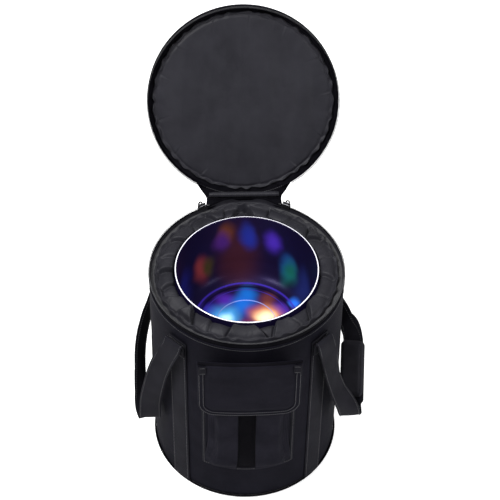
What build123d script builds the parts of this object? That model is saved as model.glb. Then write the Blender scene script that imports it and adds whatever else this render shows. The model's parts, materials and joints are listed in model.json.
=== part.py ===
"""Round padded carrying bag with a zipped lid, holding a crystal singing bowl on a stem.

Millimetres. The origin is the middle of the base on the ground, +Z is up and -Y is the front.
The lid's pieces are drawn on the lid's own plane, which stands open about the hinge at the back.
Turns about the bag are counted in degrees from the back, positive towards +X.
"""

import os

from build123d import *

# Bag
RIM_HEIGHT = 360.0
SHELL_RADIUS = 138.0
SHELL_THICKNESS = 1.2
SHELL_TOP = 348.0
WALL_INNER = 128.5
WALL_TOP = 350.0
LINING_THICKNESS = 1.2
BASE_THICKNESS = 2.0
BOARD_THICKNESS = 3.0
BASE_FOAM_THICKNESS = 10.0
COLLAR_LOW = 298.0
COLLAR_TOP = 356.0
COLLAR_INNER = 104.6
COLLAR_ROUNDS = [6.0, 9.0]
PIPING_RADIUS = 1.3
PIPING_HEIGHT = 3.6
SKIN_GAP = 0.1
CLEARANCE = 0.3

# Zip: a coil of teeth on each side of the rim height, with a gap for the sliders' posts
TAPE_INNER = 135.8
TAPE_THICKNESS = 1.0
TAPE_LOW = 334.0
BINDING_HEIGHT = 2.5
BINDING_THICKNESS = 0.8
COIL_GAP = 1.8
COIL_HEIGHT = 1.6
COIL_INNER = 135.3
COIL_OUTER = 137.3
SLIDER_TURN = 26.5
BODY_COIL_TURN = 23.5
LID_COIL_TURN = 30.0
STOP_WIDTH = 3.0
STOP_DEPTH = 2.4
STOP_INNER = 135.2
STOP_SETBACK = 1.2
SLIDER_WIDTH = 12.0
SLIDER_HEIGHT = 8.0
PLATE_THICKNESS = 1.3
SLIDER_INNER = 133.4
SLIDER_OUTER = 139.3
POST_WIDTH = 4.0
POST_HEIGHT = 1.0
CROWN_DEPTH = 2.0
CROWN_WIDTH = 3.0
CROWN_HEIGHT = 4.0
PULL_WIDTH = 9.0
PULL_LENGTH = 31.0
PULL_THICKNESS = 2.0
PULL_STRAND = 2.2
PULL_GAP = 1.0
PULL_RISE = 4.0

# Lid
LID_OPEN = 119.0
LID_RADIUS = 135.4
LID_BAND_LOW = 14.0
LID_TOP = 24.0
LID_SKIN = 1.2
LID_LINING_RADIUS = 131.0
HINGE_RADIUS = 137.0
HINGE_HEIGHT = RIM_HEIGHT + 9.0
HINGE_HALF_WIDTH = 55.0
ROLL_RADIUS = 4.0
ROLL_LENGTH = 96.0
HINGE_PANEL_GAP = 1.1
HINGE_PANEL_DROP = 6.0
LID_HINGE_GAP = 0.2
LID_TAPE_LAP = 2.0

# Webbing and handles
WEBBING_WIDTH = 32.0
WEBBING_THICKNESS = 2.5
WEBBING_TURN = 45.0
WEBBING_LOW = 6.0
HANDLE_HEIGHT = 325.0
GRIP_WIDTH = 36.0
GRIP_PAD_THICKNESS = 5.0
GRIP_FLAP_START = 12.0
GRIP_CORNER = 2.0
HOOK_THICKNESS = 0.8
HOOK_CORNER = 0.2

# Front pocket and its flap
POCKET_CURVE = 430.0
POCKET_FRONT = -150.0
POCKET_SHEET = 1.5
POCKET_HALF_WIDTH = 64.0
POCKET_LOW = 74.0
POCKET_TOP = 304.0
PLEAT_HALF_WIDTH = 10.0
PLEAT_DEPTH = 2.2
PLEAT_LAP = 4.0
FLAP_FRONT = -154.8
FLAP_THICKNESS = 2.8
FLAP_HALF_WIDTH = 72.0
FLAP_LOW = 222.0
FLAP_TOP = 332.0
FLAP_CORNER = 13.0
FLAP_BAND = 10.0
HOOK_HALF_WIDTH = 35.0
HOOK_LOW = 237.0
HOOK_HIGH = 262.0
TAB_WIDTH = 10.0
TAB_HEIGHT = 15.0
TAB_THICKNESS = 1.0
TAB_SETBACK = 4.0
TAB_SIDE_INSET = 2.0
TAB_TOP_INSET = 1.0
TRIM_DEPTH = 60.0

# Bowl
BOWL_RADIUS = 101.6
BOWL_WALL = 3.5
BOWL_DEPTH = 118.0
BOWL_OUTER_CORNER = 34.0
BOWL_INNER_CORNER = 30.0
RIM_ROUND = 1.7
STEM_RADIUS = 26.0
STEM_FLARE = 42.5
STEM_FLARE_HEIGHT = 23.0
STEM_LENGTH = 170.0
CRADLE_GAP = 0.6
CRADLE_INNER = 104.2
WELL_RADIUS = 30.0
WELL_SPARE_DEPTH = 8.0
WELL_FLARE_GAP = 4.0
STEM_FOOT_ROUND = 18.0
STEM_NECK_ROUND = 14.0

CUT = Mode.SUBTRACT
KEEP = Mode.INTERSECT

coil_low = RIM_HEIGHT - COIL_GAP / 2 - COIL_HEIGHT
floor_top = BASE_THICKNESS + BOARD_THICKNESS + BASE_FOAM_THICKNESS
bowl_floor = RIM_HEIGHT - BOWL_DEPTH - BOWL_WALL
pocket_centre = POCKET_FRONT + POCKET_CURVE

hinge_point = Vector(0, HINGE_RADIUS, HINGE_HEIGHT)
lid_normal = Vector(0, 0, 1).rotate(Axis.X, -LID_OPEN)
lid_centre = hinge_point + (Vector(0, 0, RIM_HEIGHT) - hinge_point).rotate(Axis.X, -LID_OPEN)
lid_plane = Plane(origin=lid_centre, x_dir=(1, 0, 0), z_dir=lid_normal)


def write(piece, label):
    """Label a finished piece and write it as its own STEP file."""
    piece.part.label = label
    export_step(piece.part, f"parts/{label}.step")


def upright(radius, turn, height):
    """A level plane on the bag's side, its Y pointing outwards and its X along the wall."""
    origin = Vector(0, radius, height).rotate(Axis.Z, -turn)
    return Plane(origin=origin, x_dir=Vector(1, 0, 0).rotate(Axis.Z, -turn), z_dir=(0, 0, 1))


def standing(base, turn):
    """The plane through a base plane's axis that a profile is revolved from, at a turn from the back."""
    axis = Axis((0, 0, 0), base.z_dir)
    outward = base.y_dir.rotate(axis, -turn)
    return Plane(origin=base.origin, x_dir=outward, z_dir=outward.cross(base.z_dir))


def ring(base, inner, outer, low, high):
    """A plain ring about a plane's axis."""
    with BuildPart() as piece:
        with BuildSketch(base.offset(low)):
            Circle(outer)
            Circle(inner, mode=CUT)
        extrude(amount=high - low)
    return piece


def disc(base, radius, low, high):
    """A plain disc about a plane's axis."""
    with BuildPart() as piece:
        with BuildSketch(base.offset(low)):
            Circle(radius)
        extrude(amount=high - low)
    return piece


def arc_ring(base, inner, outer, low, high, gap_turn):
    """A ring that is open at the back, from gap_turn on one side round to the other."""
    with BuildPart() as piece:
        with BuildSketch(standing(base, -gap_turn)):
            with Locations(((inner + outer) / 2, (low + high) / 2)):
                Rectangle(outer - inner, high - low)
        revolve(axis=Axis(base.origin, base.z_dir), revolution_arc=360 - 2 * gap_turn)
    return piece


def curved_sheet(front, thickness, half_width, low, high):
    """A gently curved upright sheet round the pocket's centre line, its middle at y = front."""
    with BuildPart() as piece:
        with BuildSketch(Plane.XY.offset(low)):
            with Locations((0, pocket_centre)):
                Circle(pocket_centre - front)
                Circle(pocket_centre - front - thickness, mode=CUT)
            with Locations((0, front)):
                Rectangle(2 * half_width, TRIM_DEPTH, mode=KEEP)
        extrude(amount=high - low)
    return piece


os.makedirs("parts", exist_ok=True)

# ---------------------------------------------------------------- base and wall
write(disc(Plane.XY, SHELL_RADIUS, 0, BASE_THICKNESS), "base_panel")
board_top = BASE_THICKNESS + BOARD_THICKNESS
write(disc(Plane.XY, WALL_INNER - CLEARANCE, BASE_THICKNESS, board_top), "base_board")
write(disc(Plane.XY, WALL_INNER - CLEARANCE, board_top, floor_top), "base_foam")
shell_inner = SHELL_RADIUS - SHELL_THICKNESS
write(ring(Plane.XY, shell_inner, SHELL_RADIUS, BASE_THICKNESS, SHELL_TOP), "outer_shell")
lining_inner = WALL_INNER - LINING_THICKNESS
write(ring(Plane.XY, lining_inner, WALL_INNER, floor_top, WALL_TOP), "wall_lining")

# The padding in the wall is thinner behind the zip tape
with BuildPart() as wall_foam:
    with BuildSketch(Plane.XZ):
        with BuildLine():
            Polyline(
                (WALL_INNER, BASE_THICKNESS),
                (shell_inner, BASE_THICKNESS),
                (shell_inner, TAPE_LOW),
                (TAPE_INNER, TAPE_LOW),
                (TAPE_INNER, WALL_TOP),
                (WALL_INNER, WALL_TOP),
                close=True,
            )
        make_face()
    revolve(axis=Axis.Z)
write(wall_foam, "wall_foam")

# Cord sewn into the edge of the base
with BuildPart() as base_piping:
    with BuildSketch(Plane.XZ):
        with Locations((SHELL_RADIUS + PIPING_RADIUS + SKIN_GAP, PIPING_HEIGHT)):
            Circle(PIPING_RADIUS)
    revolve(axis=Axis.Z)
write(base_piping, "base_piping")

# Puffy gathered collar of lining that holds the bowl at the rim
with BuildPart() as lining_collar:
    with BuildSketch(Plane.XZ):
        with BuildLine():
            FilletPolyline(
                (lining_inner, COLLAR_LOW),
                (lining_inner, COLLAR_TOP),
                (COLLAR_INNER, COLLAR_TOP),
                (COLLAR_INNER, COLLAR_LOW),
                radius=COLLAR_ROUNDS,
            )
            Line((COLLAR_INNER, COLLAR_LOW), (lining_inner, COLLAR_LOW))
        make_face()
    revolve(axis=Axis.Z)
write(lining_collar, "lining_collar")

# Foam insert with a round seat for the bowl and a well for its stem
seat = bowl_floor - CRADLE_GAP
stem_low = bowl_floor - STEM_LENGTH
well_floor = stem_low - WELL_SPARE_DEPTH
well_edge = STEM_FLARE + WELL_FLARE_GAP
with BuildPart() as foam_cradle:
    with BuildSketch(Plane.XZ):
        with BuildLine():
            Polyline(
                (0, well_floor),
                (0, floor_top),
                (lining_inner, floor_top),
                (lining_inner, COLLAR_LOW),
                (CRADLE_INNER, COLLAR_LOW),
            )
            FilletPolyline(
                (CRADLE_INNER, COLLAR_LOW),
                (CRADLE_INNER, seat),
                (well_edge, seat),
                radius=BOWL_INNER_CORNER,
            )
            Polyline(
                (well_edge, seat),
                (WELL_RADIUS, seat - STEM_FLARE_HEIGHT - WELL_FLARE_GAP),
                (WELL_RADIUS, well_floor),
                (0, well_floor),
            )
        make_face()
    revolve(axis=Axis.Z)
write(foam_cradle, "foam_cradle")

# ---------------------------------------------------------------- zip on the bag
tape_outer = TAPE_INNER + TAPE_THICKNESS
write(ring(Plane.XY, TAPE_INNER, tape_outer, TAPE_LOW, coil_low), "body_zip_tape")
coil_top = coil_low + COIL_HEIGHT
write(arc_ring(Plane.XY, COIL_INNER, COIL_OUTER, coil_low, coil_top, BODY_COIL_TURN), "body_zip_coil")
binding_low = SHELL_TOP - BINDING_HEIGHT
write(ring(Plane.XY, SHELL_RADIUS, SHELL_RADIUS + BINDING_THICKNESS, binding_low, SHELL_TOP), "rim_binding")

with BuildPart() as zip_stops:
    for stop_turn in (STOP_SETBACK - BODY_COIL_TURN, BODY_COIL_TURN - STOP_SETBACK):
        with BuildSketch(upright(STOP_INNER, stop_turn, coil_low)):
            Rectangle(STOP_WIDTH, STOP_DEPTH, align=(Align.CENTER, Align.MIN))
        extrude(amount=COIL_HEIGHT)
write(zip_stops, "zip_stops")

# ---------------------------------------------------------------- hinge fabric
with BuildPart() as hinge_roll:
    with BuildSketch(Plane.YZ.offset(-ROLL_LENGTH / 2)):
        with Locations((HINGE_RADIUS, HINGE_HEIGHT)):
            Circle(ROLL_RADIUS)
    extrude(amount=ROLL_LENGTH)
write(hinge_roll, "hinge_roll")

with BuildPart() as hinge_panel:
    with BuildSketch(Plane.XY.offset(TAPE_LOW)):
        with Locations((0, SHELL_RADIUS + HINGE_PANEL_GAP)):
            Rectangle(2 * HINGE_HALF_WIDTH, SHELL_THICKNESS, align=(Align.CENTER, Align.MIN))
    extrude(amount=HINGE_HEIGHT - HINGE_PANEL_DROP - TAPE_LOW)
write(hinge_panel, "hinge_panel")

with BuildPart() as lid_hinge_flap:
    with BuildSketch(lid_plane.offset(LID_BAND_LOW)):
        with Locations((0, SHELL_RADIUS + LID_HINGE_GAP)):
            Rectangle(2 * HINGE_HALF_WIDTH, SHELL_THICKNESS, align=(Align.CENTER, Align.MIN))
    extrude(amount=LID_TOP - LID_BAND_LOW)
write(lid_hinge_flap, "lid_hinge_flap")

# ---------------------------------------------------------------- lid
lid_inner = LID_RADIUS - LID_SKIN
write(ring(lid_plane, lid_inner, LID_RADIUS, LID_BAND_LOW, LID_TOP), "lid_band")
write(disc(lid_plane, lid_inner - SKIN_GAP, LID_BAND_LOW, LID_TOP), "lid_foam")
write(disc(lid_plane, LID_RADIUS, LID_TOP, LID_TOP + LID_SKIN), "lid_panel")
lining_low = LID_BAND_LOW - LINING_THICKNESS
write(disc(lid_plane, LID_LINING_RADIUS, lining_low, LID_BAND_LOW), "lid_lining")
lid_coil_low = COIL_GAP / 2
lid_coil_top = lid_coil_low + COIL_HEIGHT
lid_coil = arc_ring(lid_plane, COIL_INNER, COIL_OUTER, lid_coil_low, lid_coil_top, LID_COIL_TURN)
write(lid_coil, "lid_zip_coil")
lid_tape_inner = LID_RADIUS + SKIN_GAP
lid_tape_outer = lid_tape_inner + TAPE_THICKNESS
tape_top = LID_BAND_LOW + LID_TAPE_LAP
lid_tape = arc_ring(lid_plane, lid_tape_inner, lid_tape_outer, lid_coil_top, tape_top, LID_COIL_TURN)
write(lid_tape, "lid_zip_tape")

with BuildPart() as lid_piping:
    with BuildSketch(standing(lid_plane, 0)):
        with Locations((LID_RADIUS + PIPING_RADIUS, LID_TOP)):
            Circle(PIPING_RADIUS)
    revolve(axis=Axis(lid_plane.origin, lid_plane.z_dir))
write(lid_piping, "lid_piping")

# ---------------------------------------------------------------- sliders and their pulls
for side, turn in (("left", -SLIDER_TURN), ("right", SLIDER_TURN)):
    slider_low = RIM_HEIGHT - SLIDER_HEIGHT / 2
    with BuildPart() as slider:
        with BuildSketch(upright(0, turn, slider_low)):
            for plate_inner in (SLIDER_INNER, SLIDER_OUTER - PLATE_THICKNESS):
                with Locations((0, plate_inner)):
                    Rectangle(SLIDER_WIDTH, PLATE_THICKNESS, align=(Align.CENTER, Align.MIN))
        extrude(amount=SLIDER_HEIGHT)
        with BuildSketch(upright(0, turn, RIM_HEIGHT - POST_HEIGHT / 2)):
            with Locations((0, SLIDER_INNER)):
                Rectangle(POST_WIDTH, SLIDER_OUTER - SLIDER_INNER, align=(Align.CENTER, Align.MIN))
        extrude(amount=POST_HEIGHT)
        with BuildSketch(upright(0, turn, RIM_HEIGHT - CROWN_HEIGHT / 2)):
            with Locations((0, SLIDER_OUTER)):
                Rectangle(CROWN_WIDTH, CROWN_DEPTH, align=(Align.CENTER, Align.MIN))
        extrude(amount=CROWN_HEIGHT)
    write(slider, f"slider_{side}")

    pull_middle = SLIDER_OUTER + CROWN_DEPTH + PULL_GAP + PULL_THICKNESS / 2
    pull_back = upright(pull_middle + PULL_THICKNESS / 2, turn, RIM_HEIGHT)
    with BuildPart() as pull:
        with BuildSketch(Plane(pull_back.origin, x_dir=pull_back.x_dir, z_dir=-pull_back.y_dir)):
            with Locations((0, PULL_RISE - PULL_LENGTH / 2)):
                Rectangle(PULL_WIDTH, PULL_LENGTH)
                Rectangle(PULL_WIDTH - 2 * PULL_STRAND, PULL_LENGTH - 2 * PULL_STRAND, mode=CUT)
        extrude(amount=PULL_THICKNESS)
    write(pull, f"pull_{side}")

# ---------------------------------------------------------------- webbing sewn to the wall
webbing_turns = {
    "back_right": WEBBING_TURN,
    "front_right": 180 - WEBBING_TURN,
    "front_left": WEBBING_TURN - 180,
    "back_left": -WEBBING_TURN,
}
for place, turn in webbing_turns.items():
    with BuildPart() as webbing:
        with BuildSketch(upright(0, turn, WEBBING_LOW)):
            Circle(SHELL_RADIUS + WEBBING_THICKNESS)
            Circle(SHELL_RADIUS, mode=CUT)
            Rectangle(WEBBING_WIDTH, 2 * SHELL_RADIUS, align=(Align.CENTER, Align.MIN), mode=KEEP)
        extrude(amount=HANDLE_HEIGHT - WEBBING_LOW)
    write(webbing, f"webbing_{place}")

# ---------------------------------------------------------------- handles
# Each stop of a route: where the strap's middle is, and the way its width points.
# Both routes are written for the right side, and the left handle is mirrored from its own.
GRIP_START = Vector(157.5, -51, 110)
GRIP_END = Vector(161, 16, 178)
GRIP_ACROSS = Vector(0.85, -0.45, 0.2)
right_route = (
    (Vector(105, -105, 321), Vector(0.72, 0.69, 0)),
    (Vector(112, -100, 288), Vector(0.72, 0.69, 0.1)),
    (Vector(117, -96, 255), Vector(0.64, 0.76, 0.1)),
    (Vector(123, -93, 222), Vector(0.55, 0.83, 0.1)),
    (Vector(132, -90, 189), Vector(0.6, 0.79, 0.1)),
    (Vector(143, -86, 159), Vector(0.8, 0.55, 0.2)),
    (Vector(150, -81, 133), Vector(0.95, 0.2, 0.2)),
    (Vector(153, -74, 114), Vector(0.98, 0, 0.15)),
    (Vector(156, -63, 105), Vector(0.95, -0.2, 0.1)),
    (GRIP_START, GRIP_ACROSS),
    (GRIP_END, GRIP_ACROSS),
    (Vector(151, 52, 188), Vector(0.6, -0.55, 0.55)),
    (Vector(139, 80, 204), Vector(0.5, -0.75, 0.4)),
    (Vector(125, 97, 240), Vector(0.6, -0.75, 0.25)),
    (Vector(113, 104, 280), Vector(0.68, -0.72, 0.1)),
    (Vector(105, 105, 321), Vector(0.72, -0.69, 0)),
)
left_route = (
    (Vector(105, -105, 321), Vector(0.72, 0.69, 0)),
    (Vector(118, -98, 282), Vector(0.8, 0.6, 0)),
    (Vector(128, -92, 245), Vector(0.86, 0.5, 0)),
    (Vector(136, -86, 202), Vector(0.9, 0.42, 0)),
    (Vector(141, -80, 165), Vector(0.95, 0.3, 0)),
    (Vector(143, -75, 127), Vector(1, 0.1, 0)),
    (Vector(144, -68, 112), Vector(1, 0, 0)),
    (Vector(150, -55, 118), Vector(0.9, -0.2, 0.2)),
    (Vector(155, -36, 131), Vector(0.6, -0.55, 0.55)),
    (Vector(157, -8, 148), Vector(0.44, -0.61, 0.66)),
    (Vector(156, 26, 164), Vector(0.44, -0.61, 0.66)),
    (Vector(150, 57, 179), Vector(0.44, -0.65, 0.6)),
    (Vector(139, 82, 200), Vector(0.5, -0.75, 0.4)),
    (Vector(125, 97, 238), Vector(0.6, -0.75, 0.25)),
    (Vector(113, 104, 278), Vector(0.68, -0.72, 0.1)),
    (Vector(105, 105, 321), Vector(0.72, -0.69, 0)),
)


def route_direction(route, stop):
    """The strap's direction at a stop: straight through the grip, and between neighbours elsewhere."""
    if route is right_route and route[stop][0] in (GRIP_START, GRIP_END):
        return GRIP_END - GRIP_START
    before = max(stop - 1, 0)
    after = min(stop + 1, len(route) - 1)
    return route[after][0] - route[before][0]


def strap_loop(route):
    """A flat strap through every stop of a route."""
    with BuildPart() as strap:
        for stop, (place, across) in enumerate(route):
            with BuildSketch(Plane(origin=place, x_dir=across, z_dir=route_direction(route, stop))):
                Rectangle(WEBBING_WIDTH, WEBBING_THICKNESS)
        loft(ruled=True)
    return strap


write(strap_loop(right_route), "handle_right")
left_strap = strap_loop(left_route)
with BuildPart() as handle_left:
    mirror(left_strap.part, about=Plane.YZ)
write(handle_left, "handle_left")

# Padded wrap round the right handle: one half stays on the strap, the other opens along its edge
grip_length = (GRIP_END - GRIP_START).length
grip_plane = Plane(origin=GRIP_START, x_dir=GRIP_ACROSS, z_dir=GRIP_END - GRIP_START)
strap_half = WEBBING_THICKNESS / 2
flap_low = -strap_half - CLEARANCE - HOOK_THICKNESS
flap_inner = flap_low - GRIP_PAD_THICKNESS
grip_layers = {
    "grip_pad": (GRIP_WIDTH, strap_half, GRIP_PAD_THICKNESS, GRIP_CORNER, 0),
    "grip_hook_tape": (GRIP_WIDTH / 2, flap_low, HOOK_THICKNESS, HOOK_CORNER, GRIP_FLAP_START),
    "grip_flap": (GRIP_WIDTH, flap_inner, GRIP_PAD_THICKNESS, GRIP_CORNER, GRIP_FLAP_START),
}
for label, (width, low, thickness, corner, start) in grip_layers.items():
    with BuildPart() as grip_layer:
        with BuildSketch(grip_plane.offset(start)):
            with Locations((0, low)):
                Rectangle(width, thickness, align=(Align.CENTER, Align.MIN))
            fillet(vertices(), corner)
        extrude(amount=grip_length - start)
    write(grip_layer, label)

# ---------------------------------------------------------------- front pocket
# The pocket's face, with an inverted pleat down its middle
with BuildPart() as pocket_panel:
    with BuildSketch(Plane.XY.offset(POCKET_LOW)):
        with Locations((0, pocket_centre)):
            Circle(POCKET_CURVE)
            Circle(POCKET_CURVE - POCKET_SHEET, mode=CUT)
        with Locations((0, POCKET_FRONT)):
            Rectangle(2 * POCKET_HALF_WIDTH, TRIM_DEPTH, mode=KEEP)
            Rectangle(2 * PLEAT_HALF_WIDTH, TRIM_DEPTH, mode=CUT)
        with Locations((0, POCKET_FRONT + POCKET_SHEET)):
            Rectangle(2 * (PLEAT_HALF_WIDTH + PLEAT_LAP), PLEAT_DEPTH, align=(Align.CENTER, Align.MIN))
    extrude(amount=POCKET_TOP - POCKET_LOW)
write(pocket_panel, "pocket_panel")

# The pocket's sides and floor, from its face back to the wall
with BuildPart() as pocket_gusset:
    with BuildSketch(Plane.XY.offset(POCKET_LOW)):
        with Locations((0, pocket_centre)):
            Circle(POCKET_CURVE - POCKET_SHEET - PLEAT_DEPTH)
        with Locations((0, POCKET_FRONT)):
            Rectangle(2 * POCKET_HALF_WIDTH, TRIM_DEPTH, mode=KEEP)
        Circle(SHELL_RADIUS + SKIN_GAP, mode=CUT)
        Rectangle(4 * SHELL_RADIUS, SHELL_RADIUS, align=(Align.CENTER, Align.MIN), mode=CUT)
    extrude(amount=POCKET_TOP - POCKET_LOW)
    with BuildSketch(Plane.XY.offset(POCKET_LOW + POCKET_SHEET)):
        with Locations((0, POCKET_FRONT)):
            Rectangle(2 * (POCKET_HALF_WIDTH - POCKET_SHEET), TRIM_DEPTH)
    extrude(amount=POCKET_TOP - POCKET_LOW, mode=CUT)
write(pocket_gusset, "pocket_gusset")

loop_front = POCKET_FRONT - HOOK_THICKNESS
loop_tape = curved_sheet(loop_front, HOOK_THICKNESS, HOOK_HALF_WIDTH, HOOK_LOW, HOOK_HIGH)
write(loop_tape, "pocket_loop_tape")

# ---------------------------------------------------------------- pocket flap
flap_back = FLAP_FRONT + FLAP_THICKNESS
hook_tape = curved_sheet(flap_back, HOOK_THICKNESS, HOOK_HALF_WIDTH, HOOK_LOW, HOOK_HIGH)
write(hook_tape, "flap_hook_tape")

flap_sheet = curved_sheet(FLAP_FRONT, FLAP_THICKNESS, FLAP_HALF_WIDTH, FLAP_LOW, FLAP_TOP)
with BuildPart() as pocket_flap:
    add(flap_sheet.part)
    with BuildSketch(Plane.XZ.offset(-FLAP_FRONT)):
        with Locations((0, FLAP_LOW)):
            Rectangle(2 * FLAP_HALF_WIDTH, FLAP_TOP - FLAP_LOW, align=(Align.CENTER, Align.MIN))
        chamfer(vertices().group_by(Axis.Y)[0], FLAP_CORNER)
    extrude(amount=TRIM_DEPTH / 2, both=True, mode=KEEP)
write(pocket_flap, "pocket_flap")

band_front = FLAP_FRONT - HOOK_THICKNESS
band_sheet = curved_sheet(band_front, HOOK_THICKNESS, FLAP_HALF_WIDTH, FLAP_LOW, FLAP_TOP)
with BuildPart() as flap_binding:
    add(band_sheet.part)
    with BuildSketch(Plane.XZ.offset(-FLAP_FRONT)):
        with Locations((0, FLAP_LOW)):
            Rectangle(2 * FLAP_HALF_WIDTH, FLAP_TOP - FLAP_LOW, align=(Align.CENTER, Align.MIN))
        chamfer(vertices().group_by(Axis.Y)[0], FLAP_CORNER)
    extrude(amount=TRIM_DEPTH / 2, both=True, mode=KEEP)
    with BuildSketch(Plane.XZ.offset(-FLAP_FRONT)):
        with Locations((0, FLAP_LOW + FLAP_BAND)):
            window = 2 * (FLAP_HALF_WIDTH - FLAP_BAND)
            Rectangle(window, FLAP_TOP - FLAP_LOW - 2 * FLAP_BAND, align=(Align.CENTER, Align.MIN))
        chamfer(vertices().group_by(Axis.Y)[0], FLAP_CORNER - FLAP_BAND / 2)
    extrude(amount=TRIM_DEPTH / 2, both=True, mode=CUT)
write(flap_binding, "flap_binding")

tab_x = FLAP_HALF_WIDTH - TAB_WIDTH / 2 - TAB_SIDE_INSET
tab_z = FLAP_TOP - TAB_HEIGHT / 2 - TAB_TOP_INSET
with BuildPart() as flap_tabs:
    with BuildSketch(Plane.XZ.offset(-band_front - TAB_SETBACK)):
        with Locations((-tab_x, tab_z), (tab_x, tab_z)):
            Rectangle(TAB_WIDTH, TAB_HEIGHT)
    extrude(amount=TAB_THICKNESS)
write(flap_tabs, "flap_tabs")

# ---------------------------------------------------------------- bowl
with BuildPart() as crystal_bowl:
    with BuildSketch(Plane.XZ):
        with BuildLine():
            FilletPolyline(
                (0, bowl_floor),
                (BOWL_RADIUS, bowl_floor),
                (BOWL_RADIUS, RIM_HEIGHT),
                (BOWL_RADIUS - BOWL_WALL, RIM_HEIGHT),
                (BOWL_RADIUS - BOWL_WALL, bowl_floor + BOWL_WALL),
                (0, bowl_floor + BOWL_WALL),
                radius=[BOWL_OUTER_CORNER, RIM_ROUND, RIM_ROUND, BOWL_INNER_CORNER],
            )
            Line((0, bowl_floor + BOWL_WALL), (0, bowl_floor))
        make_face()
    revolve(axis=Axis.Z)
write(crystal_bowl, "crystal_bowl")

with BuildPart() as bowl_stem:
    with BuildSketch(Plane.XZ):
        with BuildLine():
            FilletPolyline(
                (0, stem_low),
                (STEM_RADIUS, stem_low),
                (STEM_RADIUS, bowl_floor - STEM_FLARE_HEIGHT),
                (STEM_FLARE, bowl_floor),
                radius=[STEM_FOOT_ROUND, STEM_NECK_ROUND],
            )
            Polyline((STEM_FLARE, bowl_floor), (0, bowl_floor), (0, stem_low))
        make_face()
    revolve(axis=Axis.Z)
write(bowl_stem, "bowl_stem")
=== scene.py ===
"""Looks of a round padded bag with an open zipped lid, holding an iridescent crystal singing bowl."""

import itertools
import json
import math

import bpy
import numpy as np
from mathutils import Matrix, Vector, noise


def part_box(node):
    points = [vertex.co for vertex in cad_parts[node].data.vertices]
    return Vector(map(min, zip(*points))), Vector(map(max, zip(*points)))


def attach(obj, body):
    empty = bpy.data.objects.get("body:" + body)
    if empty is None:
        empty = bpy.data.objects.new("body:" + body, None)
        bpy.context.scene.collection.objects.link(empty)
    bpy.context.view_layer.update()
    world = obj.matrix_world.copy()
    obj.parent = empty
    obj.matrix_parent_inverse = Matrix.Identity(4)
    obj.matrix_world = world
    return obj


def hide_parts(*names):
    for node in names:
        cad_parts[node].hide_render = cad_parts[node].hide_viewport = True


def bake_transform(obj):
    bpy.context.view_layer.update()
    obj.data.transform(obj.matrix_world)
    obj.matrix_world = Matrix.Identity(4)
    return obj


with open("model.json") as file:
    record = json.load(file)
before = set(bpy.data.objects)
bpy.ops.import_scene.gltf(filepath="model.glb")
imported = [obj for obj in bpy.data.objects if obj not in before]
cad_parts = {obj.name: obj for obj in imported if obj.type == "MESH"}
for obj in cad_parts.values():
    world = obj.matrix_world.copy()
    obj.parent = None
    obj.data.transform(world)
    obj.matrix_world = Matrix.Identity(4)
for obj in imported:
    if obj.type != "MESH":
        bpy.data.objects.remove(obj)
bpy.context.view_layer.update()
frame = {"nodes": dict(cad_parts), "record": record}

MM = 0.001
TURN = 2 * math.pi

# ------------------------------------------------------------------ places read from the frame
joints = {joint["name"]: joint for joint in frame["record"]["behaviour"]["joints"]}
SHELL_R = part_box("outer_shell")[1].x
SHELL_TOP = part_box("outer_shell")[1].z
RIM_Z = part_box("body_zip_coil")[1].z + 0.9 * MM
TAPE_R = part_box("body_zip_tape")[1].x
COIL_R = (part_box("body_zip_coil")[1].x + TAPE_R) / 2
COLLAR_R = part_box("lining_collar")[1].x
BOWL_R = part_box("crystal_bowl")[1].x
BOWL_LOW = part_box("crystal_bowl")[0].z
STEM_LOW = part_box("bowl_stem")[0].z
STEM_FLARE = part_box("bowl_stem")[1].x
LID_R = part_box("lid_panel")[1].x
STRAP_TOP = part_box("webbing_front_left")[1].z
STRAP_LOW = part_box("webbing_front_left")[0].z
STRAP_HALF = 16 * MM
STRAP_THICK = 2.2 * MM
PIPING = 1.3 * MM
HINGE = Vector(joints["lid_hinge"]["pos_m"])
LID_OPEN = -joints["lid_hinge"]["range_deg"][0]
SLIDER_TURN = 26.5
WEBBING_TURN = 45.0

lid_turn = Matrix.Translation(HINGE) @ Matrix.Rotation(math.radians(-LID_OPEN), 4, "X") @ Matrix.Translation(-HINGE)


# ------------------------------------------------------------------ mesh helpers
def in_scene(name, data):
    """A new object that holds some data, in the scene."""
    obj = bpy.data.objects.new(name, data)
    bpy.context.scene.collection.objects.link(obj)
    return obj


def piece(name, points, faces, uvs, material, body, slot, replaced=(), smooth=True):
    """A mesh piece from points, faces and one UV (in metres) per point."""
    mesh = bpy.data.meshes.new(name)
    mesh.from_pydata([tuple(p) for p in points], [], [tuple(f) for f in faces])
    mesh.update()
    layer = mesh.uv_layers.new(name="UVMap")
    corner_points = np.empty(len(mesh.loops), dtype=np.int32)
    mesh.loops.foreach_get("vertex_index", corner_points)
    layer.data.foreach_set("uv", np.asarray(uvs, dtype=np.float32)[corner_points].ravel())
    mesh.polygons.foreach_set("use_smooth", [smooth] * len(mesh.polygons))
    mesh.materials.append(material)
    obj = in_scene(name, mesh)
    if body is not None:
        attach(obj, body)
    if replaced:
        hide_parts(*replaced)
    return obj


def grid_faces(rows, columns, wrap_rows=False, wrap_columns=False):
    """Quads of a grid of rows by columns points."""
    faces = []
    for i in range(rows if wrap_rows else rows - 1):
        for j in range(columns if wrap_columns else columns - 1):
            a, b = i * columns + j, i * columns + (j + 1) % columns
            c, d = ((i + 1) % rows) * columns + (j + 1) % columns, ((i + 1) % rows) * columns + j
            faces.append((a, b, c, d))
    return faces


def tube_faces(rows, columns, caps=True):
    """Faces of a tube of rows by columns points, with its two ends."""
    faces = grid_faces(rows, columns, wrap_columns=True)
    if caps:
        faces.append(tuple(range(columns))[::-1])
        faces.append(tuple(range((rows - 1) * columns, rows * columns)))
    return faces


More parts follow.
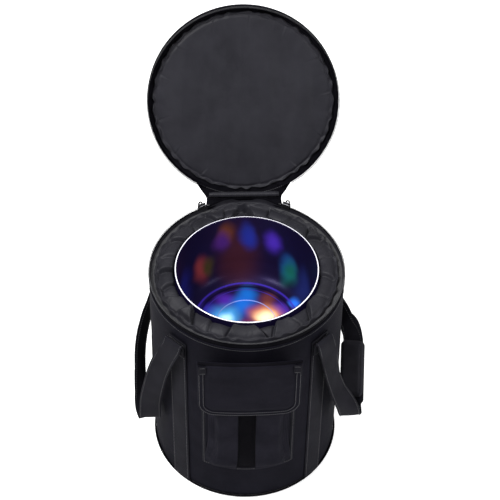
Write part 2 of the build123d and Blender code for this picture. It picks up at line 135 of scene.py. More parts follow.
def along(points):
    """Distance along a row of points, from its first."""
    steps = np.linalg.norm(np.diff(np.asarray(points, float), axis=0), axis=1)
    return np.concatenate([[0.0], np.cumsum(steps)])


def resample(points, count):
    """count points, evenly spaced along a polyline."""
    points = np.asarray(points, float)
    place = along(points)
    wanted = np.linspace(0, place[-1], count)
    return np.stack([np.interp(wanted, place, points[:, k]) for k in range(points.shape[1])], axis=1)


def rounded(points, rounds=3):
    """Chaikin's corner cutting: the same outline with soft corners."""
    points = np.asarray(points, float)
    for _ in range(rounds):
        cut = [points[0]]
        for a, b in zip(points[:-1], points[1:]):
            cut += [a * 0.75 + b * 0.25, a * 0.25 + b * 0.75]
        cut.append(points[-1])
        points = np.array(cut)
    return points


def spline(points, count):
    """A smooth curve through the points (Catmull-Rom), resampled evenly."""
    points = np.asarray(points, float)
    ends = np.vstack([2 * points[0] - points[1], points, 2 * points[-1] - points[-2]])
    dense = []
    for k in range(1, len(ends) - 2):
        p0, p1, p2, p3 = ends[k - 1 : k + 3]
        for t in np.linspace(0, 1, 24, endpoint=False):
            dense.append(0.5 * (2 * p1 + (p2 - p0) * t + (2 * p0 - 5 * p1 + 4 * p2 - p3) * t**2
                                + (3 * p1 - p0 - 3 * p2 + p3) * t**3))
    dense.append(ends[-2])
    return resample(dense, count)


def lathe(name, profile, material, body, slot, columns=360, shape=None, place=None, replaced=(), closed=False):
    """A profile of (radius, height) turned about the Z axis. Angles run from the back, towards +X.
    shape(angle, s, r, z) returns the point's own r and z, and place moves the finished points."""
    rows = len(profile)
    s = along(profile)
    points, uvs = [], []
    for i, (r, z) in enumerate(profile):
        for j in range(columns):
            angle = TURN * j / columns
            pr, pz = shape(angle, s[i] / s[-1], r, z) if shape else (r, z)
            points.append(Vector((pr * math.sin(angle), pr * math.cos(angle), pz)))
            uvs.append((angle * max(r, 0.02), s[i]))
    if place is not None:
        points = [place @ p for p in points]
    faces = grid_faces(rows, columns, wrap_rows=closed, wrap_columns=True)
    return piece(name, points, faces, uvs, material, body, slot, replaced)


def sweep(name, path, across, section, material, body, slot, replaced=(), shape=None, caps=True, place=None):
    """A closed section of (across, out) points carried along a path, turned to each across vector.
    shape(t, u, v) may change a section point at the fraction t of the path."""
    path = np.asarray(path, float)
    tangents = np.gradient(path, axis=0)
    s = along(path)
    rim = along(list(section) + [section[0]])
    points, uvs = [], []
    for k, p in enumerate(path):
        tangent = Vector(tangents[k]).normalized()
        side = Vector(across[k])
        side = (side - tangent * side.dot(tangent)).normalized()
        out = tangent.cross(side)
        for m, (u, v) in enumerate(section):
            if shape:
                u, v = shape(s[k] / s[-1], u, v)
            points.append(Vector(p) + side * u + out * v)
            uvs.append((rim[m], s[k]))
    if place is not None:
        points = [place @ p for p in points]
    faces = tube_faces(len(path), len(section), caps)
    return piece(name, points, faces, uvs, material, body, slot, replaced)


def strap_section(width, thickness, columns=14):
    """A flat strap's cross-section, with round edges."""
    half, t = width / 2, thickness / 2
    xs = np.linspace(-half + t, half - t, columns)
    top = [(x, t) for x in xs]
    right = [(half - t + t * math.sin(a), t * math.cos(a)) for a in (0.8, 1.57, 2.34)]
    bottom = [(x, -t) for x in xs[::-1]]
    left = [(-half + t - t * math.sin(a), -t * math.cos(a)) for a in (0.8, 1.57, 2.34)]
    return top + right + bottom + left


def oval(wide, high, columns, middle=(0, 0)):
    """An ellipse as a closed section, from its two half sizes and its middle."""
    return [(middle[0] + wide * math.cos(a), middle[1] + high * math.sin(a))
            for a in np.linspace(0, TURN, columns, endpoint=False)]


def round_section(radius, columns=10):
    """A circle as a closed section."""
    return oval(radius, radius, columns)


def profile_mm(height, *groups):
    """Profile points in mm from a height and from each group's radius: (radius, (out, up), (out, up), ...)."""
    return [(radius + out * MM, height + up * MM) for radius, *steps in groups for out, up in steps]


def degrees_from_back(angle):
    """How far an angle is from the back, in degrees, on either side."""
    return abs((math.degrees(angle) + 180) % 360 - 180)


def around(radius, turn, height):
    """The point at a turn in degrees from the back, towards +X."""
    a = math.radians(turn)
    return Vector((radius * math.sin(a), radius * math.cos(a), height))


def smooth(low, high, x):
    """0 up to low and 1 from high, with a soft step between; low may be the larger."""
    t = min(max((x - low) / (high - low), 0.0), 1.0)
    return t * t * (3 - 2 * t)


def bell(x, width):
    """1 at nought, falling away on both sides over a width."""
    return math.exp(-((x / width) ** 2))


def rough(x, y, z, scale, seed=0.0):
    """Smooth noise from -1 to 1 with lumps about scale metres wide."""
    return noise.noise(Vector((x / scale + seed, y / scale - seed, z / scale + 2 * seed)))


# ------------------------------------------------------------------ materials
def node_material(name):
    """A new material, a function that adds nodes, one that adds a colour ramp, and one that fills its shader."""
    material = bpy.data.materials.new(name)
    material.use_nodes = True
    nodes, links = material.node_tree.nodes, material.node_tree.links

    def fill(node, inputs):
        for key, value in inputs.items():
            if isinstance(value, bpy.types.NodeSocket):
                links.new(value, node.inputs[key])
            else:
                node.inputs[key].default_value = value

    def add(kind, inputs, **settings):
        """A node's outputs; each input is a value or another node's output."""
        node = nodes.new("ShaderNode" + kind)
        for key, value in settings.items():
            setattr(node, key, value)
        fill(node, inputs)
        return node.outputs

    def ramp(value, colours, positions=(0.0, 1.0)):
        node = nodes.new("ShaderNodeValToRGB")
        for end, colour, position in zip(node.color_ramp.elements, colours, positions):
            end.position = position
            end.color = (*colour, 1)
        links.new(value, node.inputs["Fac"])
        return node.outputs["Color"]

    def dress(inputs):
        fill(nodes["Principled BSDF"], inputs)

    return material, add, ramp, dress


BLOTCH = 40 * MM


def fabric(name, dark, light, pitch, depth, roughness, sheen=0.0, twill=False):
    """Woven cloth: threads at a pitch in metres, blotches of shade, and a soft sheen."""
    material, add, ramp, dress = node_material(name)
    place = add("TexCoord", {})
    spin = add("Mapping", {"Vector": place["UV"], "Rotation": (0, 0, math.radians(45 if twill else 0))})["Vector"]
    threads = {"Vector": spin, "Scale": TURN / (20 * pitch), "Distortion": 0.35, "Detail": 1.0}
    warp, weft = [add("TexWave", threads, bands_direction=way)["Fac"] for way in "XY"]
    weave = add("Math", {0: warp, 1: weft}, operation="MULTIPLY")[0]
    shade = add("TexNoise", {"Vector": place["Object"], "Scale": 1 / BLOTCH, "Detail": 5.0, "Roughness": 0.6})["Fac"]
    blend = add("Math", {0: weave, 1: 0.45, 2: shade}, operation="MULTIPLY_ADD")[0]
    span = {"Value": shade, "To Min": roughness - 0.08, "To Max": roughness + 0.08}
    dress({
        "Base Color": ramp(blend, (dark, light), (0.3, 1.0)),
        "Roughness": add("MapRange", span)["Result"],
        "Normal": add("Bump", {"Height": weave, "Strength": 0.6, "Distance": depth})["Normal"],
        "Sheen Weight": sheen,
        "Sheen Roughness": 0.4,
        "Specular IOR Level": 0.16 if twill else 0.015,
    })
    return material


def metal(name, colour, roughness):
    """Brushed metal: fine scratches in colour, roughness and bump."""
    material, add, ramp, dress = node_material(name)
    scratch = add("TexNoise", {"Vector": add("TexCoord", {})["Object"], "Scale": 900, "Detail": 6})["Fac"]
    span = {"Value": scratch, "To Min": roughness - 0.1, "To Max": roughness + 0.1}
    dress({
        "Base Color": ramp(scratch, ([c * 0.6 for c in colour], colour)),
        "Roughness": add("MapRange", span)["Result"],
        "Normal": add("Bump", {"Height": scratch, "Distance": 0.05 * MM})["Normal"],
        "Metallic": 1.0,
    })
    return material


def grainy(name, dark, light, grain, depth, roughness):
    """Foam, rubber or moulded plastic: fine grain in colour and bump."""
    material, add, ramp, dress = node_material(name)
    place = add("TexCoord", {})["Object"]
    speck = add("TexNoise", {"Vector": place, "Scale": 1 / grain, "Detail": 4})["Fac"]
    cells = add("TexVoronoi", {"Vector": place, "Scale": 1 / grain})["Distance"]
    span = {"Value": speck, "To Min": max(roughness - 0.1, 0.05), "To Max": min(roughness + 0.1, 1.0)}
    dress({
        "Base Color": ramp(speck, (dark, light), (0.35, 0.7)),
        "Roughness": add("MapRange", span)["Result"],
        "Normal": add("Bump", {"Height": cells, "Distance": depth, "Strength": 0.5})["Normal"],
    })
    return material


SHELL_WEAVE = (0.9 * MM, 0.12 * MM)
FINE_WEAVE = (0.5 * MM, 0.05 * MM)
NYLON = fabric("nylon_shell", (0.0034, 0.0033, 0.0056), (0.0088, 0.0085, 0.0126), *SHELL_WEAVE, 0.74)
NYLON_FLAP = fabric("nylon_flap", (0.0042, 0.0041, 0.0066), (0.0104, 0.0100, 0.0146), *SHELL_WEAVE, 0.70)
POCKET_NYLON = fabric("nylon_pocket", (0.0050, 0.0049, 0.0074), (0.0132, 0.0127, 0.0178), *FINE_WEAVE, 0.9)
GRIP_NYLON = fabric("nylon_grip", (0.0110, 0.0107, 0.0140), (0.0270, 0.0265, 0.0320), *SHELL_WEAVE, 0.66, 0.02)
LINING = fabric("satin_lining", (0.0068, 0.0066, 0.0094), (0.0165, 0.0162, 0.0212), *FINE_WEAVE, 0.52, 0.04, True)
WEBBING = fabric("webbing_weave", (0.0050, 0.0049, 0.0068), (0.0145, 0.0142, 0.0182), 1.6 * MM, 0.30 * MM, 0.66)
TAPE = fabric("zip_tape_weave", (0.0018, 0.0017, 0.0026), (0.0050, 0.0048, 0.0066), 0.7 * MM, 0.15 * MM, 0.8)
THREAD = grainy("stitching_thread", (0.016, 0.016, 0.019), (0.040, 0.040, 0.045), 0.6 * MM, 0.1 * MM, 0.6)
COIL = grainy("zip_coil_plastic", (0.004, 0.004, 0.005), (0.014, 0.014, 0.016), 0.5 * MM, 0.05 * MM, 0.5)
# The bag's rim teeth are a lighter copy of the lid's teeth: a painted highlight for the light line along the rim
COIL_RIM_HIGHLIGHT = grainy("zip_coil_rim_highlight", (0.020, 0.020, 0.023), (0.060, 0.060, 0.066), 0.5 * MM, 0.05 * MM, 0.4)
PULL = grainy("pull_rubber", (0.006, 0.006, 0.006), (0.014, 0.014, 0.014), 0.8 * MM, 0.1 * MM, 0.6)
FOAM = grainy("open_cell_foam", (0.020, 0.020, 0.022), (0.050, 0.050, 0.054), 1.2 * MM, 0.4 * MM, 0.95)
BOARD = grainy("base_board", (0.03, 0.03, 0.03), (0.05, 0.05, 0.05), 2 * MM, 0.1 * MM, 0.6)
VELCRO = grainy("hook_and_loop", (0.004, 0.004, 0.004), (0.02, 0.02, 0.02), 0.7 * MM, 0.6 * MM, 0.95)
METAL = metal("gunmetal", (0.13, 0.13, 0.14), 0.42)


def stitches(name, path, outward, body, pitch=3.4 * MM, length=2.3 * MM, thick=0.35 * MM, place=None):
    """A row of sewn stitches along a path; outward is the surface's normal at each of its points."""
    path = np.asarray(path, float)
    outward = np.asarray(outward, float)
    s = along(path)
    points, faces, uvs = [], [], []
    for middle in np.arange(pitch / 2, s[-1], pitch):
        ends = [np.array([np.interp(m, s, path[:, k]) for k in range(3)])
                for m in (middle - length / 2, middle + length / 2)]
        normal = Vector([np.interp(middle, s, outward[:, k]) for k in range(3)]).normalized()
        run = Vector(ends[1] - ends[0]).normalized()
        side = run.cross(normal).normalized()
        base = len(points)
        for where, wide, high in ((0, 0.5, 0.1), (0.2, 1, 0.8), (0.8, 1, 0.8), (1, 0.5, 0.1)):
            middle_point = Vector(ends[0]).lerp(Vector(ends[1]), where)
            for u, v in ((-1, -0.6), (-0.7, 1), (0.7, 1), (1, -0.6)):
                points.append(middle_point + side * u * wide * thick + normal * v * high * thick)
                uvs.append((u * thick, where * length))
        for k in range(3):
            for m in range(4):
                a, b = base + 4 * k + m, base + 4 * k + (m + 1) % 4
                faces.append((a, b, b + 4, a + 4))
        faces.append((base + 3, base + 2, base + 1, base))
        faces.append((base + 12, base + 13, base + 14, base + 15))
    if place is not None:
        points = [place @ p for p in points]
    return piece(name, points, faces, uvs, THREAD, body, "webbing")


def coil(name, body, material, height, gap_turn, replaced, place=None):
    """Zip teeth: a fine helix laid round the rim, open at the back."""
    radius, wire, pitch, steps = 0.85 * MM, 0.36 * MM, 1.7 * MM, 8
    sweep_turn = math.radians(360 - 2 * gap_turn)
    turns = int(sweep_turn * COIL_R / pitch)
    path, sides = [], []
    for k in range(turns * steps + 1):
        a = TURN / 2 - sweep_turn / 2 + sweep_turn * k / (turns * steps)
        wind = TURN * k / steps
        r = COIL_R + radius * 1.2 * math.cos(wind)
        path.append((r * math.sin(a), r * math.cos(a), height + radius * math.sin(wind)))
        sides.append((math.sin(a), math.cos(a), 0))
    return sweep(name, path, sides, round_section(wire, 4), material, body, "zip_coil", replaced, place=place)


# ------------------------------------------------------------------ camera, light and floor
def make_stage():
    """A long lens looking down from just left of the front, a white floor, and four soft lamps."""
    azimuth, pitch, roll, distance = math.radians(-2.5), math.radians(46.9), math.radians(0.9), 2.227
    back = Vector((math.sin(azimuth) * math.cos(pitch), -math.cos(azimuth) * math.cos(pitch), math.sin(pitch)))
    turn = (-back).to_track_quat("-Z", "Y")
    rim_middle = Vector((0, 0, RIM_Z))
    aim = rim_middle + turn @ Vector((0.004, 0.025, 0))
    camera = in_scene("camera", bpy.data.cameras.new("camera"))
    camera.data.lens = 114.4
    camera.data.sensor_width = 36.0
    camera.rotation_mode = "QUATERNION"
    camera.rotation_quaternion = turn @ Matrix.Rotation(roll, 4, "Z").to_quaternion()
    camera.location = aim + back * distance
    camera.data.clip_end = 30
    bpy.context.scene.camera = camera

    floor_size, squares = 6.0, 24
    line = np.linspace(-floor_size / 2, floor_size / 2, squares + 1)
    mesh = bpy.data.meshes.new("floor")
    mesh.from_pydata([(x, y, -0.2 * MM) for x in line for y in line], [], grid_faces(squares + 1, squares + 1))
    material, _, _, dress = node_material("floor_white")
    dress({
        "Base Color": (0.94, 0.94, 0.94, 1),
        "Roughness": 0.9,
        "Specular IOR Level": 0.1,
        "Emission Color": (1, 1, 1, 1),
        "Emission Strength": 0.5,
    })
    mesh.materials.append(material)
    in_scene("floor", mesh)

    world = bpy.data.worlds.new("studio")
    bpy.context.scene.world = world
    world.use_nodes = True
    sky = world.node_tree.nodes["Background"]
    sky.inputs["Color"].default_value = (1.0, 1.0, 1.0, 1)
    sky.inputs["Strength"].default_value = 0.32

    lamps = (
        ("key_left", (-1.2, -0.6, 2.2), 0.6, 66),
        ("key_right", (1.7, -0.9, 1.7), 0.7, 30),
        ("top_soft", (0.0, 0.1, 2.4), 1.0, 20),
        ("back_soft", (0.0, 1.8, 1.4), 1.5, 8),
    )
    for name, place, size, power in lamps:
        light = bpy.data.lights.new(name, "AREA")
        light.size = size
        light.energy = power
        lamp = in_scene(name, light)
        lamp.location = place
        lamp.rotation_euler = (Vector((0, 0, 0.25)) - Vector(place)).to_track_quat("-Z", "Y").to_euler()
    bpy.context.scene.view_settings.view_transform = "Standard"


# ------------------------------------------------------------------ bag wall and rim
def make_wall():
    """The padded nylon wall, with the shallow waves that padding leaves."""
    def shape(angle, s, r, z):
        x, y = math.sin(angle), math.cos(angle)
        wave = 0.7 * rough(x * 0.14, y * 0.14, z, 0.07) + 0.35 * rough(x * 0.14, y * 0.14, z, 0.025, 3.0)
        belly = 0.9 * math.sin(math.pi * min(max(z / SHELL_TOP, 0), 1))
        hold = smooth(0, 0.02, z) * smooth(0, 0.02, SHELL_TOP - z)
        return r + (wave * hold + belly - 0.4) * MM, z

    R, T = SHELL_R, SHELL_TOP
    corner = profile_mm(0, (R, (-6, 0.6), (-2.5, 1.2), (-0.4, 4)))
    rise = [(R, z) for z in np.linspace(9 * MM, T - 6 * MM, 84)]
    fold = profile_mm(T, (R, (0.3, -3), (0.5, -1.2), (0.1, 0.2), (-0.7, -0.2), (-0.9, -2)))
    wall = lathe("wall_fabric", corner + rise + fold, NYLON, "bag", "nylon", 420, shape, replaced=["outer_shell"])
    piping = oval(PIPING, PIPING, 10, (R + PIPING, 3.6 * MM))
    lathe("base_edge_piping", piping, TAPE, "bag", "webbing", 240, replaced=["base_piping"], closed=True)


def back_lift(angle):
    """How far the rim rises to the hinge roll, between the two sliders."""
    return 7.0 * MM * (1 - smooth(11, 22, degrees_from_back(angle)))


def make_rim():
    """Zip tape standing at the rim, its teeth, and the stitched seam under it."""
    def waver(angle, s, r, z):
        lift = 0.25 * math.sin(37 * angle) + 0.3 * rough(math.sin(angle), math.cos(angle), s, 0.25)
        return r + 0.4 * MM * lift, z + back_lift(angle) * smooth(SHELL_TOP - 6 * MM, SHELL_TOP + 4 * MM, z)

    low, top = SHELL_TOP - 8 * MM, RIM_Z - 1.9 * MM
    outside = [(TAPE_R, low), (TAPE_R + 0.2 * MM, SHELL_TOP + 2 * MM), (TAPE_R + 0.3 * MM, top - 1 * MM)]
    inside = [(TAPE_R - 0.4 * MM, top), (TAPE_R - 0.9 * MM, top - 1 * MM), (TAPE_R - 1.0 * MM, low)]
    profile = rounded(outside + inside, 1)
    lathe("rim_zip_tape", profile, TAPE, "bag", "zip_tape", 300, waver, replaced=["body_zip_tape", "rim_binding"])
    # the rim's teeth take the lighter coil colour, a painted highlight along the rim
    coil("rim_zip_teeth", "bag", COIL_RIM_HIGHLIGHT, RIM_Z - 1.7 * MM, 23.5, ["body_zip_coil"])
    ring = [around(SHELL_R + 0.75 * MM, t, SHELL_TOP - 3.2 * MM) for t in np.linspace(0, 360, 360)]
    stitches("rim_seam_stitches", ring, [(p.x, p.y, 0) for p in ring], "bag", 3.2 * MM)


# Creases in the gathered collar: turn from the back, depth and width in mm, and slant in degrees
COLLAR_CREASES = (
    (-6, 3.2, 2.4, -7), (3, 4.6, 3.0, 6), (18, 2.8, 1.8, 1), (33, 1.4, 3.0, -3), (52, 3.4, 2.2, 9), (60, 3.0, 2.0, -5),
    (79, 1.6, 3.0, 2), (98, 1.8, 2.6, -4), (117, 1.6, 3.0, 3), (134, 3.6, 2.4, -9), (146, 1.8, 2.4, 4),
    (163, 3.4, 2.2, -6), (171, 4.4, 2.6, 8), (194, 3.8, 2.0, -3), (208, 1.6, 3.0, 2), (222, 4.6, 2.8, 8),
    (231, 4.2, 2.4, -6), (246, 3.4, 2.4, -9), (256, 2.2, 2.6, 3), (271, 3.6, 2.2, 2), (284, 1.6, 3.0, 4),
    (301, 2.8, 2.4, 6), (318, 2.0, 2.6, -3), (334, 2.6, 2.4, 5), (345, 2.0, 2.0, -3),
)


def crease_height(angle, across, creases, radius, spread=1.0):
    """Height in mm of a gathered cloth at an angle; across runs from 0 at the sewn edge to 1."""
    total = 0.0
    for turn, depth, width, slant in creases:
        off = (math.degrees(angle) - turn - slant * (across - 0.5) + 180) % 360 - 180
        x = math.radians(off) * radius / MM / spread
        if abs(x) < 9 * width:
            # a pleat: one side steps up over the other, with a narrow valley between them
            total -= 0.7 * depth * bell(2 * x, width)
            step = x / math.hypot(x, 0.3 * width)
            total += math.copysign(0.75, slant) * depth * step * math.exp(-abs(x) / (3.2 * width))
    return total


def make_collar():
    """The puffy gathered satin collar between the rim and the bowl."""
    H = RIM_Z
    mouth = BOWL_R + 1.6 * MM
    profile = profile_mm(
        H,
        (TAPE_R, (-1.2, -4), (-1.6, -9)),
        (COLLAR_R, (6, -11.5), (2.4, -10.5), (1.2, -6.5), (0.3, -4.2), (-1, -5.6), (-2.6, -7), (-6, -4.6), (-11, -2.4),
         (-17, -2.2), (-22, -3.4)),
        (mouth, (0.4, -6.4), (0, -12), (0.8, -28), (1.6, -60)),
    )
    dense = resample(rounded(profile, 2), 96)
    edge = COLLAR_R

    def shape(angle, s, r, z):
        x, y = math.sin(angle), math.cos(angle)
        ruffle = bell(r - edge, 2.6 * MM)
        gathers = math.sin(31 * angle + 3.0 * rough(x, y, 0, 0.2)) * (0.75 + 0.5 * rough(x, y, 0, 0.12, 5.0))
        z += 0.8 * back_lift(angle) * smooth(edge - 7 * MM, edge - 1 * MM, r)
        r += (1.5 * gathers + 0.8 * rough(x, y, 0, 0.05, 3.0)) * ruffle * MM
        z += 1.4 * ruffle * math.sin(37 * angle + 1.0 + 2.0 * rough(x, y, 0, 0.2, 2.0)) * MM
        body_part = smooth(edge - 1 * MM, edge - 7 * MM, r) if r < edge - 1 * MM else 0.0
        across = min(max((edge - r) / (edge - mouth), 0), 1)
        lift = 2.0 * crease_height(angle, across, COLLAR_CREASES, 0.115, 1.8)
        fade = smooth(H - 34 * MM, H - 14 * MM, z)
        soft = 1.2 * rough(x * 0.12, y * 0.12, across * 0.02, 0.022, 1.5) + 0.2 * rough(x * 0.12, y * 0.12, 0, 0.008)
        fine = 0.3 * math.sin(68 * angle + 4 * across) * math.exp(-across / 0.12)
        if body_part > 0:
            wall_part = smooth(H - 6 * MM, H - 12 * MM, z)
            z += (lift + soft + fine) * body_part * fade * (1 - wall_part) * MM
            r -= 0.25 * (lift + soft) * body_part * fade * wall_part * MM
        return max(r, BOWL_R + 0.7 * MM), z

    cloth = lathe("gathered_collar", dense, LINING, "bag", "lining", 900, shape, replaced=["lining_collar"])


def make_cradle():
    """The lined foam cradle under the collar, with its round seat and the well for the stem."""
    seat_low = BOWL_LOW - 0.6 * MM
    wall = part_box("foam_cradle")[1].z
    profile = profile_mm(wall, (BOWL_R, (3.2, 0), (2.8, -20)))
    profile += profile_mm(
        seat_low, (BOWL_R, (2.6, 34), (-3, 12), (-16, 1)), (STEM_FLARE, (10, 0), (3, -1), (-8, -24), (-12.5, -50))
    )
    profile += profile_mm(STEM_LOW, (STEM_FLARE, (-12.5, 6), (-18, -7)), (0, (0.5, -8)))
    dense = resample(rounded(profile, 2), 110)

    def shape(angle, s, r, z):
        x, y = math.sin(angle), math.cos(angle)
        out, down = rough(x * r, y * r, z, 0.02, 7.0), rough(x * r, y * r, z, 0.015)
        return r + 0.35 * MM * abs(out), z - 0.25 * MM * abs(down)

    lining = lathe("cradle_lining", dense, LINING, "bag", "lining", 240, shape, replaced=["foam_cradle"])


# ------------------------------------------------------------------ bowl
# Colours on the coated quartz, partly the coat's own interference colour and partly painted reflections and painted
# light:
# turn from the back, height above the inner floor and radius (mm), the patch's own size (mm) and its colour
NAVY = (0.0036, 0.0026, 0.0125)
# How far the patches are squashed in height when their distance is measured, which draws them out upwards
STREAK = 0.6
WALL_COLOUR_AND_REFLECTION_PATCHES = (
    (0, 60, 98, 70, (0.007, 0.004, 0.019)),
    (-6, 42, 98, 34, (0.032, 0.008, 0.013)),
    (2, 88, 98, 13, (0.010, 0.016, 0.14)),
    (4, 72, 98, 13, (0.012, 0.018, 0.18)),
    (-16, 88, 98, 13, (0.080, 0.022, 0.008)),
    (-20, 74, 98, 13, (0.040, 0.010, 0.10)),
    (25, 76, 98, 14, (0.045, 0.016, 0.26)),
    (-42, 38, 98, 16, (0.12, 0.018, 0.020)),
    (-34, 34, 98, 12, (0.030, 0.022, 0.008)),
    (41, 38, 98, 15, (0.008, 0.040, 0.16)),
    (44, 30, 98, 15, (0.006, 0.075, 0.060)),
    (62, 30, 98, 20, (0.008, 0.012, 0.070)),
    (-66, 36, 98, 20, (0.006, 0.006, 0.060)),
)
# Floor patches: the bright cyan, cream and orange ones are painted light on the floor, the rest partly the coat's
# colour and partly painted reflections
FLOOR_COLOUR_AND_LIGHT_PATCHES = (
    (0, 0, 0, 60, (0.020, 0.007, 0.085)),
    (2, 0, 56, 16, (0.006, 0.085, 0.34)),
    (-36, 0, 54, 15, (0.050, 0.014, 0.24)),
    (-66, 0, 56, 15, (0.024, 0.016, 0.26)),
    (36, 0, 54, 15, (0.085, 0.020, 0.022)),
    (66, 0, 56, 16, (0.050, 0.014, 0.20)),
    (-8, 0, 34, 20, (0.008, 0.090, 0.40)),
    (34, 0, 26, 15, (0.10, 0.018, 0.10)),
    (-74, 0, 33, 23, (0.06, 0.34, 0.70)),
    (-76, 0, 31, 12, (0.50, 0.82, 0.95)),
    (70, 0, 31, 23, (0.65, 0.22, 0.05)),
    (74, 0, 29, 16, (0.95, 0.72, 0.44)),
    (180, 0, 6, 14, (0.10, 0.016, 0.045)),
    (180, 0, 30, 17, (0.32, 0.12, 0.03)),
    (64, 3, 79, 9, (0.016, 0.10, 0.50)),
)
# Thin rings round the floor: radius and width (mm) and colour. The coloured rings are partly the coat's colour and
# partly painted reflections; the dark ring at 70 mm, where the floor turns up into the wall, is painted shade
FLOOR_RINGS = (
    (43.5, 1.2, (0.14, 0.18, 0.40)),
    (64, 1.2, (0.030, 0.018, 0.22)),
    (70, 3.4, (0.002, 0.0015, 0.010)),
    (76, 2.4, (0.028, 0.014, 0.24)),
)


# How far the patches' edges wander
RIPPLE = 14 * MM


def crystal(name):
    """Quartz with a metallic coat: dark navy, with soft patches that are partly the coat's interference colour and
    partly painted reflections and light, all of it glowing as painted light.
    """
    material, add, _, dress = node_material(name)
    place = add("TexCoord", {})["Object"]
    ripple = add("TexNoise", {"Vector": place, "Scale": 26, "Detail": 2})["Color"]
    moved = add("VectorMath", {0: ripple, 1: (RIPPLE,) * 3, 2: place}, operation="MULTIPLY_ADD")[0]
    centred = add("VectorMath", {0: moved, 1: (RIPPLE / 2,) * 3}, operation="SUBTRACT")[0]
    squash = add("VectorMath", {0: centred, 1: (1, 1, STREAK)}, operation="MULTIPLY")[0]

    def paint(colour, tint, distance, reach, strength, fall):
        """The colour so far, turned to a tint near where the distance is nought."""
        span = {"Value": distance, "From Max": reach, "To Min": strength, "To Max": 0.0}
        fade = add("MapRange", span, interpolation_type=fall)["Result"]
        return add("Mix", {"Factor": fade, "A": colour, "B": (*tint, 1)}, data_type="RGBA")["Result"]

    colour = (*NAVY, 1)
    floor_z = BOWL_LOW + 3.5 * MM
    for turn, height, radius, size, tint in WALL_COLOUR_AND_REFLECTION_PATCHES + FLOOR_COLOUR_AND_LIGHT_PATCHES:
        middle = around(radius * MM, turn, STREAK * (floor_z + height * MM))
        distance = add("VectorMath", {0: squash, 1: middle}, operation="DISTANCE")["Value"]
        colour = paint(colour, tint, distance, 1.55 * size * MM, 1.0, "SMOOTHERSTEP")
    level = add("VectorMath", {0: place, 1: (1, 1, 0)}, operation="MULTIPLY")[0]
    from_axis = add("VectorMath", {0: level}, operation="LENGTH")["Value"]
    for radius, width, tint in FLOOR_RINGS:
        off = add("Math", {0: from_axis, 1: radius * MM}, operation="SUBTRACT")[0]
        distance = add("Math", {0: off}, operation="ABSOLUTE")[0]
        colour = paint(colour, tint, distance, width * MM, 0.8, "SMOOTHSTEP")
    # The colour is given again as emission, so the whole bowl glows: painted light
    dress({
        "Base Color": colour,
        "Emission Color": colour,
        "Emission Strength": 0.75,
        "Metallic": 0.25,
        "Roughness": 0.36,
        "Specular IOR Level": 0.05,
        "Specular Tint": (0.45, 0.45, 1.0, 1),
        "Coat Weight": 0.02,
        "Coat Roughness": 0.2,
    })
    return material


def make_bowl():
    """The bowl: one smooth closed wall with a rim painted near-white and glowing as a painted highlight, and its stem.
    """
    quartz = crystal("coated_crystal")
    wall, corner_out, corner_in, columns = 3.5 * MM, 34 * MM, 30 * MM, 256
    R, low, top = BOWL_R, BOWL_LOW, RIM_Z
    quarter = np.linspace(0, math.pi / 2, 22)
    outer = [(r, low) for r in np.linspace(0.3 * MM, R - corner_out - 1 * MM, 12)]
    outer += [(R - corner_out + corner_out * math.sin(a), low + corner_out - corner_out * math.cos(a)) for a in quarter]
    outer += [(R, z) for z in np.linspace(low + corner_out + 2 * MM, top - 2.2 * MM, 20)]
    rim = [(R - wall / 2 + wall / 2 * math.cos(a), top - wall / 2 + wall / 2 * math.sin(a))
           for a in np.linspace(0, math.pi, 12)]
    r_in, floor = R - wall, low + wall
    inner = [(r_in, z) for z in np.linspace(top - 2.2 * MM, floor + corner_in + 2 * MM, 20)]
    inner += [(r_in - corner_in * (1 - math.cos(a)), floor + corner_in * (1 - math.sin(a))) for a in quarter]
    flat = [(r, floor) for r in np.linspace(r_in - corner_in - 1 * MM, 44.5 * MM, 8)]
    step = [(43.6 * MM, floor - 0.1 * MM), (43 * MM, floor - 0.5 * MM), (42.3 * MM, floor - 0.6 * MM)]
    disc = [(r, floor - 0.6 * MM) for r in np.linspace(41 * MM, 0.3 * MM, 14)]
    profile = outer + rim + inner + flat + step + disc
    bowl = lathe("crystal_bowl_wall", profile, quartz, "bowl", "crystal", columns, replaced=["crystal_bowl"])
    # The rim's top rows are painted near-white and given emission: a painted highlight along the rim
    rim_highlight_material, add, ramp, dress = node_material("rim_painted_highlight")
    grain = add("TexNoise", {"Vector": add("TexCoord", {})["Object"], "Scale": 400})["Fac"]
    white = ramp(grain, ((0.55, 0.55, 0.62), (0.95, 0.95, 1.0)))
    dress({"Base Color": white, "Emission Color": white, "Emission Strength": 0.25, "Roughness": 0.2})
    bowl.data.materials.append(rim_highlight_material)
    first_row = len(outer) + 3
    for face in bowl.data.polygons:
        if first_row <= face.index // columns < first_row + 3:
            face.material_index = 1
    glass, add, ramp, dress = node_material("stem_quartz")
    speck = add("TexNoise", {"Vector": add("TexCoord", {})["Object"], "Scale": 120})["Fac"]
    dress({
        "Base Color": ramp(speck, ((0.16, 0.13, 0.42), (0.30, 0.30, 0.62))),
        "Roughness": 0.12,
        "Transmission Weight": 0.3,
    })
    set_material(frame["nodes"]["bowl_stem"], glass)


def set_material(obj, material):
    """Give a CAD node's every slot one material."""
    if not obj.material_slots:
        obj.data.materials.append(material)
    for place in obj.material_slots:
        place.material = material


